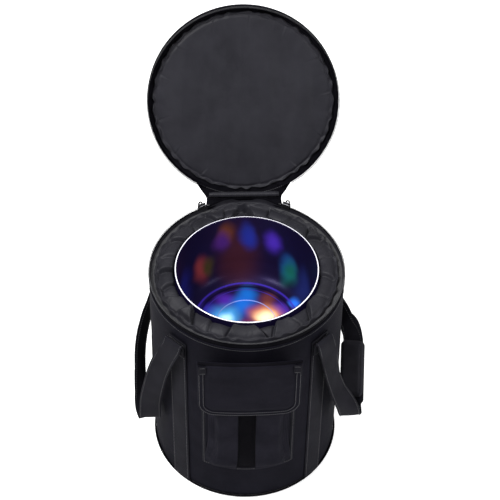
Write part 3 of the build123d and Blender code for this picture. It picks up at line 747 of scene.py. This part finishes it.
# ------------------------------------------------------------------ lid, drawn closed and then turned open
# Creases at the lining's edge, as in COLLAR_CREASES
LID_CREASES = (
    (12, 1.6, 1.8, 3), (38, 1.3, 1.6, -3), (66, 1.5, 1.8, 4), (95, 1.2, 1.6, -2), (121, 1.7, 1.8, 3),
    (150, 1.4, 2.0, -3), (176, 1.5, 1.6, 2), (201, 1.7, 1.8, 4), (228, 1.2, 1.6, -4), (252, 1.6, 1.8, 3),
    (281, 1.3, 1.6, -2), (306, 1.7, 1.8, -4), (331, 1.4, 1.6, 3), (350, 1.2, 1.8, -2),
)


def lid_low(angle):
    """How high above the zip line the lid's edge starts: it lifts at the back to clear the sliders and the roll."""
    off = degrees_from_back(angle)
    return (1.6 + 4.2 * (1 - smooth(28, 29.8, off)) + 7.4 * (1 - smooth(22.6, 24.0, off))) * MM


def make_lid():
    """The lid: its padded cover, piping, teeth and tape, and the loose lining inside."""
    H = RIM_Z
    shell = profile_mm(
        0,
        (LID_R, (-0.6, 13), (-0.2, 3), (0.4, 2.6), (0.8, 4), (0.9, 13), (0.5, 15), (0.6, 18), (0.3, 23), (-1.2, 25.2),
         (-8, 26.2)),
        (LID_R * 0.6, (0, 27.4)),
        (0, (0.5, 27.8)),
    )
    dense = np.vstack([resample(rounded(shell[:9], 2), 44), resample(rounded(shell[8:], 2), 30)[1:]])

    def shell_shape(angle, s, r, h):
        x, y = math.sin(angle), math.cos(angle)
        low = lid_low(angle)
        if h < 13 * MM:
            h = low + (h - 2.6 * MM) * (13 * MM - low) / (10.4 * MM)
        wave = rough(x * r, y * r, h, 0.05, 2.0)
        if h > 24 * MM:
            h += 0.8 * MM * wave
        else:
            r += 0.4 * MM * wave
        return r, H + h

    cover = lathe("lid_fabric", dense, NYLON, "lid", "nylon", 420, shell_shape, lid_turn, ["lid_panel", "lid_band"])
    piping = oval(PIPING, PIPING, 10, (LID_R + 1.1 * MM, H + 24 * MM))
    lathe("lid_edge_piping", piping, WEBBING, "lid", "webbing", 240, None, lid_turn, ["lid_piping"], True)
    coil("lid_zip_teeth", "lid", COIL, H + 1.7 * MM, 30, ["lid_zip_coil"], lid_turn)

    inner_ring = profile_mm(0, (LID_R, (-0.4, 1.6), (-1.2, 8), (-1.6, 12.2), (-4, 13.4)), (COLLAR_R, (0, 13.6)))

    def ring_shape(angle, s, r, h):
        h = max(h, lid_low(angle) + 0.2 * MM)
        return r + 0.3 * MM * rough(math.sin(angle) * 0.13, math.cos(angle) * 0.13, h, 0.02), H + h

    lathe("lid_zip_tape_inside", resample(inner_ring, 16), TAPE, "lid", "zip_tape", 300, ring_shape, lid_turn,
          ["lid_zip_tape"])

    edge = COLLAR_R + 0.8 * MM
    lining = profile_mm(
        0,
        (edge, (1.6, 13.2), (0.6, 10.6), (-0.4, 10.2), (-1.4, 11.6), (-3, 12.6), (-6, 11.4), (-14, 11.2)),
        (0.6 * edge, (0, 11.4)),
        (0, (0.4, 11.6)),
    )
    dense = np.vstack([resample(rounded(lining[:6], 2), 30), resample(rounded(lining[5:], 1), 60)[1:]])

    def lining_shape(angle, s, r, h):
        x, y = math.sin(angle), math.cos(angle)
        ruffle = bell(r - edge, 2.4 * MM)
        r += (1.2 * math.sin(33 * angle + 3 * rough(x, y, 0, 0.2)) + 1.1 * rough(x, y, 0, 0.05, 6.0)) * ruffle * MM
        h -= 1.3 * ruffle * math.sin(41 * angle + 3 * rough(x, y, 0, 0.2, 2.0)) * MM
        across = min(max((edge - r) / (24 * MM), 0), 1)
        panel = smooth(edge - 2 * MM, edge - 6 * MM, r) if r < edge - 2 * MM else 0.0
        gathers = crease_height(angle, across, LID_CREASES, 0.12) * (1 - across) ** 1.5
        gathers += 0.6 * math.sin(33 * angle + 3 * rough(x, y, 0, 0.2)) * math.exp(-across / 0.3)
        px, py = x * r, y * r
        middle = smooth(edge, edge * 0.35, r)
        folds = 4.2 * rough(px, py * 0.16, 0, 0.034, 4.0) + 1.2 * rough(px, py * 0.25, 0, 0.015, 8.0)
        h -= (gathers + folds * (0.45 + 0.55 * middle)) * panel * MM
        return r, H + h

    cloth = lathe("lid_lining_cloth", dense, LINING, "lid", "lining", 720, lining_shape, lid_turn, ["lid_lining"])
    seam = [(p.x, p.y, H + 8 * MM) for p in (around(LID_R + 1.0 * MM, t, 0) for t in np.linspace(0, 360, 360))]
    out = [lid_turn.to_3x3() @ Vector((p[0], p[1], 0)) for p in seam]
    stitches("lid_tape_stitches", seam, out, "lid", 3.2 * MM, place=lid_turn)


def cut_size(points, columns):
    """The width, length and area of a grid of points, laid out flat."""
    p = np.array([tuple(q) for q in points]).reshape(-1, columns, 3)
    across, down = np.diff(p, axis=1), np.diff(p, axis=0)
    width = np.linalg.norm(across, axis=2).sum(axis=1).max()
    length = np.linalg.norm(down, axis=2).sum(axis=0).max()
    area = 0.5 * np.linalg.norm(np.cross(across[:-1], down[:, :-1]), axis=2).sum()
    area += 0.5 * np.linalg.norm(np.cross(across[1:], down[:, 1:]), axis=2).sum()
    return float(width), float(length), float(area)


def make_hinge():
    """The roll of fabric at the hinge, and the cloth that joins bag and lid over it."""
    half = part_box("hinge_roll")[1].x
    path = [(x, HINGE.y, HINGE.z) for x in np.linspace(-half - 3 * MM, half + 3 * MM, 90)]

    def crumple(t, u, v):
        squeeze = 0.78 + 0.22 * smooth(0, 0.06, t) * smooth(0, 0.06, 1 - t)
        a = math.atan2(v, u)
        size = squeeze * (1 + 0.05 * rough(t * 3, math.cos(a), math.sin(a), 0.4) + 0.03 * math.sin(70 * t + 2 * a))
        return u * size, v * size

    sweep("hinge_roll_fabric", path, [(0, 1, 0)] * 90, round_section(3.8 * MM, 20), LINING, "bag", "nylon",
          ["hinge_roll"], crumple)
    stitches("hinge_roll_stitches", [(x, HINGE.y - 2.7 * MM, HINGE.z + 2.7 * MM) for x in np.linspace(-half, half, 40)],
             [(0, -1, 1)] * 40, "bag")

    # Cloth outside the hinge: up the back of the bag, behind the roll and onto the lid
    tip = lid_turn.to_3x3() @ Vector((0, 1, 0))
    lid_edge = lid_turn @ Vector((0, LID_R + 1.4 * MM, RIM_Z + 14 * MM))
    lid_up = lid_turn @ Vector((0, LID_R + 1.8 * MM, RIM_Z + 22 * MM))
    outer = profile_mm(RIM_Z, (SHELL_R, (1.6, -26), (1.6, -8), (2.2, 1))) + profile_mm(HINGE.z, (HINGE.y, (3, -4.6)))
    outer += [(lid_edge.y + 0.2 * MM, lid_edge.z), (lid_up.y + 0.4 * MM, lid_up.z - 0.6 * MM)]
    lid_inner = lid_turn @ Vector((0, LID_R - 2 * MM, RIM_Z + 13.2 * MM))
    inner = profile_mm(RIM_Z, (TAPE_R, (-2, -9), (-1.4, -1)))
    inner += profile_mm(HINGE.z, (HINGE.y, (-3.2, -5.2), (0.6, -4.6), (4.4, -0.5)))
    inner.append((lid_inner.y, lid_inner.z + 0.5 * MM))
    cloths = (
        ("hinge_outer_cloth", outer, NYLON, "nylon", ["hinge_panel", "lid_hinge_flap"], 54 * MM, 3 * MM),
        ("hinge_inner_cloth", inner, TAPE, "zip_tape", [], 52 * MM, 4 * MM),
    )
    columns = 60
    for name, profile, material, slot, replaced, reach, past in cloths:
        spread = 0.33 * reach
        rows = resample(rounded(profile, 2), 40)
        run = along(rows)
        points, uvs = [], []
        for (y, z), s in zip(rows, run):
            on_bag = 1 - smooth(RIM_Z - 6 * MM, HINGE.z - 6 * MM, z)
            on_lid = smooth(0.62, 0.95, s / run[-1])
            for j in range(columns):
                x = (2 * j / (columns - 1) - 1) * (reach + 1.5 * MM * on_bag + spread * on_lid)
                # away from the middle the rim and the lid's edge curve forward, and the cloth with them
                bow = SHELL_R - math.sqrt(SHELL_R**2 - x**2)
                crumple = 0.3 * MM * rough(x, y, z, 0.011, 3.0)
                points.append(Vector((x, y - bow * on_bag + crumple, z)) - tip * bow * on_lid)
                uvs.append((x, s))
        cloth = piece(name, points, grid_faces(len(rows), columns), uvs, material, None, slot, replaced)
        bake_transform(cloth)
        width, length, area = cut_size(points, columns)


# ------------------------------------------------------------------ sliders and pulls
def bevelled(points, faces, size, place, bevel):
    """Add a box with bevelled edges to lists of points and faces, placed by a matrix."""
    base = len(points)
    hx, hy, hz = (d / 2 for d in size)
    inner = [(hx - bevel, hy - bevel, hz), (hx - bevel, hy, hz - bevel), (hx, hy - bevel, hz - bevel)]
    order = {}
    for signs in itertools.product((-1, 1), repeat=3):
        for k, corner in enumerate(inner):
            order[(*signs, k)] = len(points) - base
            points.append(place @ Vector([way * d for way, d in zip(signs, corner)]))

    def face(*keys):
        corner = [base + order[key] for key in keys]
        middle = sum((points[c] for c in corner), Vector()) / len(corner)
        normal = (points[corner[1]] - points[corner[0]]).cross(points[corner[2]] - points[corner[1]])
        faces.append(corner if normal.dot(middle - place.translation) > 0 else corner[::-1])

    for s in (-1, 1):
        face((-1, -1, s, 0), (1, -1, s, 0), (1, 1, s, 0), (-1, 1, s, 0))
        face((-1, s, -1, 1), (1, s, -1, 1), (1, s, 1, 1), (-1, s, 1, 1))
        face((s, -1, -1, 2), (s, 1, -1, 2), (s, 1, 1, 2), (s, -1, 1, 2))
        for t in (-1, 1):
            face((-1, s, t, 0), (1, s, t, 0), (1, s, t, 1), (-1, s, t, 1))
            face((s, -1, t, 0), (s, 1, t, 0), (s, 1, t, 2), (s, -1, t, 2))
            face((s, t, -1, 1), (s, t, 1, 1), (s, t, 1, 2), (s, t, -1, 2))
            for q in (-1, 1):
                face((s, t, q, 0), (s, t, q, 1), (s, t, q, 2))


def make_slider(side, sign):
    """A metal slider on the rim's teeth, and the loop that hangs from its crown."""
    turn = sign * SLIDER_TURN
    outward = around(1, turn, 0)
    tangent = Vector((outward.y, -outward.x, 0))

    def placed(u, r, z):
        m = Matrix((tangent, outward, Vector((0, 0, 1)))).transposed().to_4x4()
        m.translation = outward * r + tangent * u + Vector((0, 0, z))
        return m

    points, faces = [], []
    inner_r, outer_r = 134.1 * MM, 138.6 * MM
    # two plates with a thicker crown on each, the bridge between them, and the loop's bracket
    boxes = []
    for r in (inner_r, outer_r):
        boxes += [((12, 1.3, 8), (0, r), 0.5), ((6.5, 1.5, 9), (1.5 * MM * sign, r), 0.6)]
    boxes += [((4, 5.2, 1.0), (0, (inner_r + outer_r) / 2), 0.2)]
    boxes += [((1.6, 2.2, 2.6), (u, outer_r + 1.3 * MM), 0.4) for u in (-2.6 * MM, 2.6 * MM)]
    boxes += [((6.8, 0.9, 2.4), (0, outer_r + 2.3 * MM), 0.3)]
    for size, (u, r), bevel in boxes:
        bevelled(points, faces, [d * MM for d in size], placed(u, r, RIM_Z), bevel * MM)
    uvs = [(p.x, p.z) for p in points]
    body = f"slider_{side}"
    piece(f"{body}_metal", points, faces, uvs, METAL, body, "slider_metal", [body], smooth=False)

    joint = joints[f"pull_{side}_swing"]
    top = Vector(joint["pos_m"])
    down = Vector((0, 0, -1))
    path = []
    for k in range(48):
        a = TURN * k / 48
        u = 3.4 * MM * math.copysign(abs(math.cos(a)) ** 0.7, math.cos(a))
        v = 13.2 * MM - 13.2 * MM * math.copysign(abs(math.sin(a)) ** 0.8, math.sin(a))
        path.append(top + tangent * u + down * v)
    path.append(path[0])
    pull = f"pull_{side}"
    sweep(f"{pull}_loop", path, [outward] * 49, round_section(1.1 * MM, 8), PULL, pull, "pull_cord", [pull], caps=False)
    grip = [top + down * drop * MM for drop in np.linspace(19, 28.5, 12)]

    def moulded(t, u, v):
        size = 0.72 + 0.28 * math.sin(math.pi * (0.15 + 0.7 * t)) - 0.05 * (math.sin(22 * t) > 0.6)
        return u * size, v * size

    tip = oval(4.6 * MM, 1.6 * MM, 20)
    sweep(f"{pull}_tip", grip, [tangent] * 12, tip, PULL, pull, "pull_cord", shape=moulded)


# ------------------------------------------------------------------ front pocket and its flap
def thicken(cloth, thickness):
    """Give a cloth its thickness, on its inner side."""
    modifier = cloth.modifiers.new("thickness", "SOLIDIFY")
    modifier.thickness = thickness
    modifier.offset = -1


def wall_front(x, radius):
    """Where the front of a round wall is, at an x across it."""
    return -math.sqrt(max(radius**2 - x**2, 0))


def make_pocket():
    """A bellows pocket: its face stands off the wall between folded gussets, with an inverted pleat."""
    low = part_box("pocket_panel")[0].z
    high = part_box("pocket_panel")[1].z
    seam_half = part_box("pocket_panel")[1].x
    face_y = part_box("pocket_panel")[0].y
    rows = 110
    # across the pocket: seam at the wall, gusset fold, face, pleat, face, fold, seam
    stops = (
        (-1.0, 0.0), (-0.985, 0.24), (-0.90, 0.30), (-0.86, 0.70), (-0.80, 0.98), (-0.76, 1.02), (-0.5, 1.08),
        (-0.31, 1.10), (-0.27, 1.06), (-0.262, 0.7), (-0.30, 0.20), (-0.12, 0.14), (0.06, 0.14), (0.20, 0.22),
        (0.165, 0.66), (0.178, 1.0), (0.22, 1.05), (0.5, 1.08), (0.74, 1.02), (0.78, 0.98), (0.84, 0.70), (0.90, 0.30),
        (0.985, 0.24), (1.0, 0.0),
    )
    across = resample(rounded(stops, 2), 190)
    points, uvs = [], []
    for i in range(rows):
        z = low + (high - low) * i / (rows - 1)
        full = smooth(low - 6 * MM, low + 30 * MM, z)
        taper = 1 - 0.10 * smooth(low, low + 60 * MM, z)
        for u, d in across:
            fold = 1.0 - 0.10 * abs(u) ** 3 * smooth(low, low + 70 * MM, z)
            x = u * seam_half * (taper if abs(u) < 0.95 else 1.0) * fold
            wall = wall_front(x, SHELL_R + 0.4 * MM)
            front = face_y + 3.0 * MM * (x / seam_half) ** 2
            crumple = 1.1 * rough(x, z * 0.5, 0, 0.022, 2.0) + 0.5 * rough(x, z, 0, 0.009, 9.0)
            edge = bell(abs(u) - 0.9, 0.09)
            y = wall + (front - wall) * d * (0.10 + 0.90 * full) + crumple * (0.5 + 1.8 * edge) * MM * min(d * 2, 1)
            y = min(y, wall - 0.1 * MM)
            x += 1.6 * edge * rough(z, u, 0, 0.03, 6.0) * MM
            points.append((x, y, z))
            uvs.append((u * seam_half, z))
    cloth = piece("pocket_cloth", points, grid_faces(rows, len(across)), uvs, POCKET_NYLON, "bag", "nylon",
                  ["pocket_panel", "pocket_gusset"])
    # the pleat's inside gets the dark tape cloth: painted shade in the recess
    cloth.data.materials.append(TAPE)
    for face in cloth.data.polygons:
        u, d = across[face.index % (len(across) - 1)]
        if abs(u) < 0.32 and d < 0.62:
            face.material_index = 1
    thicken(cloth, 0.9 * MM)
    middle_row = points[rows // 2 * len(across):(rows // 2 + 1) * len(across)]
    along(middle_row)[-1]
    # binding that sews the pocket's bottom and sides to the wall
    down = np.linspace(high - 8 * MM, low, 40)
    outline = [(-seam_half, z) for z in down] + [(x, low) for x in np.linspace(-seam_half, seam_half, 50)[1:-1]]
    outline += [(seam_half, z) for z in down[::-1]]
    path = [Vector((x, wall_front(x, SHELL_R + 0.9 * MM), z)) for x, z in outline]
    outward = [Vector((p.x, p.y, 0)).normalized() for p in path]
    runs = np.gradient(np.array([tuple(p) for p in path]), axis=0)
    sides = [Vector(r).normalized().cross(o) for r, o in zip(runs, outward)]
    sweep("pocket_seam_binding", path, sides, oval(3.2 * MM, 0.7 * MM, 14), WEBBING, "bag", "webbing")
    stitches("pocket_seam_stitches", [p + o * 0.7 * MM for p, o in zip(path, outward)], outward, "bag")


def make_flap():
    """The pocket's flap: a puffed panel inside a wide bound edge, with a tab at each upper corner."""
    low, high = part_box("pocket_flap")[0].z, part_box("pocket_flap")[1].z
    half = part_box("pocket_flap")[1].x
    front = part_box("pocket_flap")[0].y
    corner, band = 24 * MM, 9.5 * MM
    sagitta = 5.0 * MM
    rows, columns = 120, 150

    def bowed(x):
        """Where the flap's face is, at an x across it."""
        return front + sagitta * (x / half) ** 2

    def width(z):
        """Half the flap's width at a height."""
        up = z - low
        return half if up > corner else half - corner + math.sqrt(max(corner**2 - (corner - up) ** 2, 0))

    def inward(x, z):
        """Distance in from the flap's sides and bottom."""
        ax, up = abs(x), z - low
        if ax > half - corner and up < corner:
            return corner - math.hypot(ax - (half - corner), corner - up)
        return min(half - ax, up)

    points, uvs = [], []
    for i in range(rows):
        z = low + 0.4 * MM + (high - low - 0.4 * MM) * (i / (rows - 1)) ** 0.9
        for j in range(columns):
            x = (2 * j / (columns - 1) - 1) * width(z)
            d = inward(x, z)
            y = bowed(x)
            groove = bell(d - band, 0.9 * MM)
            puff = smooth(band, band + 9 * MM, d) * 1.3
            bead = 0.8 * math.sqrt(max(0.0, min(1.0, d / (2 * MM)))) - 0.8
            soft = 0.6 * rough(x, z, 0, 0.03, 1.0) + 0.25 * rough(x, z, 0, 0.010, 4.0)
            pull = 0.7 * rough(x * 0.2, z, 0, 0.012, 8.0) * smooth(30 * MM, 5 * MM, abs(half - 12 * MM - abs(x)))
            y -= (puff - 1.2 * groove + bead + soft + 0.4 * pull - 0.5) * MM
            # the upper edge rolls back towards the wall
            top = high - z
            if top < 5 * MM:
                y += (5 * MM - top) ** 2 / (5 * MM) * 0.9
            points.append((x, y, z - (0.4 * MM if top < 1 * MM else 0)))
            uvs.append((x, z))
    for back, drop in ((6.0, 0.6), (7.6, 2.2), (8.2, 5.0)):
        for j in range(columns):
            x = (2 * j / (columns - 1) - 1) * half
            y = bowed(x) + back * MM
            points.append((x, max(y, front), high - drop * MM))
            uvs.append((x, high + back * MM))
    cloth = piece("pocket_flap_cloth", points, grid_faces(rows + 3, columns), uvs, NYLON_FLAP, "flap", "nylon",
                  ["pocket_flap", "flap_binding"])
    thicken(cloth, 2.0 * MM)

    # a black cord along the upper edge: painted shadow, the dark line where the flap's upper edge stands off the wall
    x_row = np.linspace(-half + 1 * MM, half - 1 * MM, 60)
    path = [(x, bowed(x) + 2.6 * MM, high - 0.4 * MM) for x in x_row]
    sweep("flap_top_painted_shadow_cord", path, [(0, 0, 1)] * len(path), round_section(2.0 * MM, 12), TAPE, "flap", "nylon")

    # stitches round the bound edge, just inside its outer edge and along the groove
    for name, inset in (("outer", 2.6 * MM), ("inner", band - 1.6 * MM)):
        r = corner - inset
        left = [(-half + inset, z) for z in np.linspace(high - 20 * MM, low + corner, 30)]
        turn_left = [(-half + corner - r * math.cos(a), low + corner - r * math.sin(a))
                     for a in np.linspace(0, math.pi / 2, 14)]
        bottom = [(x, low + inset) for x in np.linspace(-half + corner, half - corner, 40)]
        outline = left + turn_left[1:] + bottom[1:]
        outline += [(-x, z) for x, z in outline[::-1]][40:]
        path = [(x, bowed(x) - 0.9 * MM, z) for x, z in outline]
        stitches(f"flap_stitches_{name}", path, [(0, -1, 0)] * len(path), "flap", 3.0 * MM)

    # tabs of webbing at the upper corners, each bar-tacked twice
    for side, sign in (("left", -1), ("right", 1)):
        x_mid = sign * (half - 7 * MM)
        path, sides = [], []
        for z in np.linspace(high - 2.5 * MM, high - 19 * MM, 26):
            lift = 0.5 * math.sin(math.pi * (high - 2.5 * MM - z) / (16.5 * MM))
            path.append((x_mid, bowed(x_mid) - (1.6 + lift) * MM, z))
            sides.append((1, -2 * sagitta * x_mid / half**2, 0))
        sweep(f"flap_tab_{side}", path, sides, strap_section(10 * MM, 1.0 * MM), WEBBING, "flap", "webbing",
              ["flap_tabs"] if side == "left" else ())
        for z in (high - 5 * MM, high - 16.5 * MM):
            row = [(x_mid + u * MM, bowed(x_mid) - 2.5 * MM, z) for u in np.linspace(-4.2, 4.2, 9)]
            stitches(f"flap_tack_{side}_{round(1000 * (high - z))}", row, [(0, -1, 0)] * 9, "flap", 1.0 * MM, 0.9 * MM)

    # cloth that carries the flap's upper edge from the wall, in the dark tape cloth as painted shade for the gap behind
    # the flap
    profile_rows, columns = 14, 60
    points, uvs = [], []
    for i in range(profile_rows):
        t = i / (profile_rows - 1)
        for j in range(columns):
            x = (2 * j / (columns - 1) - 1) * 0.6 * half
            wall = wall_front(x, SHELL_R + 0.6 * MM)
            y = wall + (bowed(x) + 5.2 * MM - wall) * t
            z = high - 25 * MM + 17 * MM * t
            points.append((x, y, z))
            uvs.append((x, t * 12 * MM))
    carrier = piece("flap_hinge_cloth", points, grid_faces(profile_rows, columns), uvs, TAPE, None, "nylon")
    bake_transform(carrier)
    width, length, area = cut_size(points, columns)


# ------------------------------------------------------------------ webbing, handles and the grip wrap
def make_webbing():
    """Four runs of webbing sewn down the wall, each with a stitched box at its top."""
    turns = {"front_left": WEBBING_TURN - 180, "front_right": 180 - WEBBING_TURN,
             "back_left": -WEBBING_TURN, "back_right": WEBBING_TURN}
    for place, turn in turns.items():
        middle = around(1, turn, 0)
        half = STRAP_HALF
        rows = 150
        points, uvs = [], []
        section = strap_section(2 * half, STRAP_THICK, 16)
        for i in range(rows):
            z = STRAP_LOW + (STRAP_TOP - STRAP_LOW) * i / (rows - 1)
            for u, v in section:
                radius = SHELL_R + 1.5 * MM + v + 0.25 * MM * rough(u, z, turn, 0.02)
                swing = math.degrees(u / SHELL_R)
                points.append(around(radius, turn + swing, z))
                uvs.append((u, z))
        faces = tube_faces(rows, len(section))
        piece(f"webbing_{place}_strap", points, faces, uvs, WEBBING, "bag", "webbing", [f"webbing_{place}"])
        top_r = SHELL_R + 2.7 * MM
        for label, u in (("a", -half + 3 * MM), ("b", half - 3 * MM)):
            swing = math.degrees(u / SHELL_R)
            line = [around(top_r, turn + swing, z) for z in np.linspace(STRAP_LOW + 2 * MM, STRAP_TOP - 4 * MM, 60)]
            stitches(f"webbing_{place}_stitches_{label}", line, [tuple(middle)] * 60, "bag", 3.6 * MM)
        for label, z in (("top", STRAP_TOP - 4 * MM), ("box", STRAP_TOP - 30 * MM)):
            line = [around(top_r, turn + math.degrees(u / SHELL_R), z)
                    for u in np.linspace(-half + 3 * MM, half - 3 * MM, 12)]
            stitches(f"webbing_{place}_tack_{label}", line, [tuple(middle)] * 12, "bag", 2.6 * MM, 2.0 * MM)


# Each handle's route (mm), written for the right side: the strap's middle, and the way its width points
GRIP_START, GRIP_END, GRIP_ACROSS = (157.5, -51, 110), (161, 16, 178), (0.85, -0.45, 0.2)
FRONT_ROOT = (
    ((100.6, -100.6, 300), (0.71, 0.70, 0)),
    ((101.4, -101.4, 321), (0.71, 0.70, 0)),
    ((104.5, -104.2, 325), (0.72, 0.69, 0)),
    ((107.5, -105.0, 314), (0.72, 0.69, 0)),
)
BACK_ROOT = tuple(((x, -y, z), (u, -v, w)) for (x, y, z), (u, v, w) in FRONT_ROOT[::-1])
RIGHT_ROUTE = FRONT_ROOT + (
    ((112, -100, 288), (0.72, 0.69, 0.1)),
    ((117, -96, 255), (0.64, 0.76, 0.1)),
    ((123, -93, 222), (0.55, 0.83, 0.1)),
    ((132, -90, 189), (0.6, 0.79, 0.1)),
    ((143, -86, 159), (0.8, 0.55, 0.2)),
    ((150, -81, 133), (0.95, 0.2, 0.2)),
    ((153, -74, 114), (0.98, 0, 0.15)),
    ((156, -63, 105), (0.95, -0.2, 0.1)),
    (GRIP_START, GRIP_ACROSS),
    (GRIP_END, GRIP_ACROSS),
    ((151, 52, 188), (0.6, -0.55, 0.55)),
    ((139, 80, 204), (0.5, -0.75, 0.4)),
    ((125, 97, 240), (0.6, -0.75, 0.25)),
    ((113, 104, 280), (0.68, -0.72, 0.1)),
) + BACK_ROOT
LEFT_ROUTE = FRONT_ROOT + (
    ((118, -98, 282), (0.8, 0.6, 0)),
    ((128, -92, 245), (0.86, 0.5, 0)),
    ((136, -86, 202), (0.9, 0.42, 0)),
    ((141, -80, 165), (0.95, 0.3, 0)),
    ((143, -75, 127), (1, 0.1, 0)),
    ((144, -68, 112), (1, 0, 0)),
    ((150, -55, 118), (0.9, -0.2, 0.2)),
    ((155, -36, 131), (0.6, -0.55, 0.55)),
    ((157, -8, 148), (0.44, -0.61, 0.66)),
    ((156, 26, 164), (0.44, -0.61, 0.66)),
    ((150, 57, 179), (0.44, -0.65, 0.6)),
    ((139, 82, 200), (0.5, -0.75, 0.4)),
    ((125, 97, 238), (0.6, -0.75, 0.25)),
    ((113, 104, 278), (0.68, -0.72, 0.1)),
) + BACK_ROOT


def make_handle(side, sign, stops):
    """A carrying loop of webbing, from the top of one sewn run to the other."""
    route = [tuple(c * MM for c in p) for p, a in stops]
    path = spline(route, 300)
    s = along(path)
    reached = [s[int(np.argmin(np.linalg.norm(path - np.array(p), axis=1)))] for p in route]
    across = np.stack([np.interp(s, reached, [a[k] for p, a in stops]) for k in range(3)], axis=1)
    path[:, 0] *= sign
    across[:, 0] *= sign
    half = STRAP_HALF

    def soft(t, u, v):
        cup = 1.1 * (u / half) ** 2 * math.sin(9 * t + 1.2 * sign) + 0.5 * rough(u, t * 0.5, 0, 0.02, sign)
        return u, v + cup * MM * smooth(0.05, 0.12, t) * smooth(0.05, 0.12, 1 - t)

    section = strap_section(2 * half, STRAP_THICK, 16)
    strap = sweep(f"handle_{side}_strap", path, across, section, WEBBING, None, "webbing", [f"handle_{side}"], soft)
    pieces = [strap]
    run = np.gradient(path, axis=0)
    face = np.cross(run, across)
    face /= np.linalg.norm(face, axis=1)[:, None]
    wide = across / np.linalg.norm(across, axis=1)[:, None]
    for edge_name, edge in (("inner", -0.86), ("outer", 0.86)):
        for face_name, way in (("front", 1), ("back", -1)):
            line = path + wide * edge * half + face * way * 1.3 * MM
            pieces.append(stitches(f"handle_{side}_stitches_{edge_name}_{face_name}", line[12:-12], way * face[12:-12],
                                   None, 3.6 * MM))
    for cloth in pieces:
        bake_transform(cloth)


def make_grip():
    """The padded wrap round the right handle: a fixed half, and a half that opens along its edge."""
    start, end = Vector(GRIP_START) * MM, Vector(GRIP_END) * MM
    run = (end - start).normalized()
    across = (Vector(GRIP_ACROSS) - run * Vector(GRIP_ACROSS).dot(run)).normalized()
    out = run.cross(across)
    length = (end - start).length
    half = 18.5 * MM
    for name, sign, first, low, body, nodes in (
        ("grip_wrap_fixed", 1, 0.0, 1.4 * MM, "handle_right", ["grip_pad"]),
        ("grip_wrap_opening", -1, 12 * MM, 1.8 * MM, "grip_flap", ["grip_flap"]),
    ):
        rows, columns = 70, 44
        points, uvs = [], []
        for layer in (0, 1):
            for i in range(rows):
                t = i / (rows - 1)
                place = start + run * (first + (length - first) * t)
                end_round = min(t, 1 - t) * (length - first)
                for j in range(columns):
                    w = 2 * j / (columns - 1) - 1
                    side = half * (1 - 0.22 * (1 - smooth(0, 9 * MM, end_round)) ** 2)
                    edge = min((1 - abs(w)) * side, end_round)
                    swell = 5.4 * MM * math.sqrt(max(0.0, 1 - (1 - min(edge / (8 * MM), 1)) ** 2))
                    swell *= 1 + 0.10 * rough(w * 0.02, t * 0.09, layer, 0.014, 3.0)
                    seam = 0.8 * MM * bell(edge - 4.2 * MM, 0.8 * MM)
                    v = low + (max(swell - seam, 0.25 * MM) if layer else 0.0)
                    points.append(place + across * w * side + out * v * sign)
                    uvs.append((w * side, t * length))
        count = rows * columns
        faces = [f if sign > 0 else f[::-1] for f in grid_faces(rows, columns)]
        upper = [tuple(count + k for k in f)[::-1] for f in faces]
        border = [j for j in range(columns)] + [i * columns + columns - 1 for i in range(1, rows)]
        border += [(rows - 1) * columns + j for j in range(columns - 2, -1, -1)]
        border += [i * columns for i in range(rows - 2, 0, -1)]
        rim = []
        for a, b in zip(border, border[1:] + border[:1]):
            quad = (a, b, b + count, a + count)
            rim.append(quad if sign < 0 else quad[::-1])
        cloth = piece(name, points, faces + upper + rim, uvs, GRIP_NYLON, body, "nylon", nodes)
        outline = []
        inset = half - 4.4 * MM
        for w, t in [(-1, k / 20) for k in range(1, 20)] + [(1, k / 20) for k in range(19, 0, -1)]:
            middle = start + run * (first + (length - first) * t)
            outline.append(middle + across * w * inset + out * sign * (low + 3.8 * MM))
        for label, line in (("a", outline[:19]), ("b", outline[19:])):
            stitches(f"{name}_stitches_{label}", line, [out * sign] * 19, body, 3.2 * MM)


# ------------------------------------------------------------------ materials of the CAD nodes that stay
def dress_cad_nodes():
    """Give the CAD nodes that are not replaced their materials."""
    looks = {
        "base_panel": NYLON, "base_board": BOARD, "base_foam": FOAM, "wall_foam": FOAM, "wall_lining": LINING,
        "lid_foam": FOAM, "zip_stops": METAL, "pocket_loop_tape": VELCRO,
        "flap_hook_tape": VELCRO, "grip_hook_tape": VELCRO,
    }
    for node, material in looks.items():
        set_material(frame["nodes"][node], material)


make_stage()
make_wall()
make_rim()
make_collar()
make_cradle()
make_bowl()
make_lid()
make_hinge()
make_slider("left", -1)
make_slider("right", 1)
make_pocket()
make_flap()
make_webbing()
make_handle("left", -1, LEFT_ROUTE)
make_handle("right", 1, RIGHT_ROUTE)
make_grip()
dress_cad_nodes()
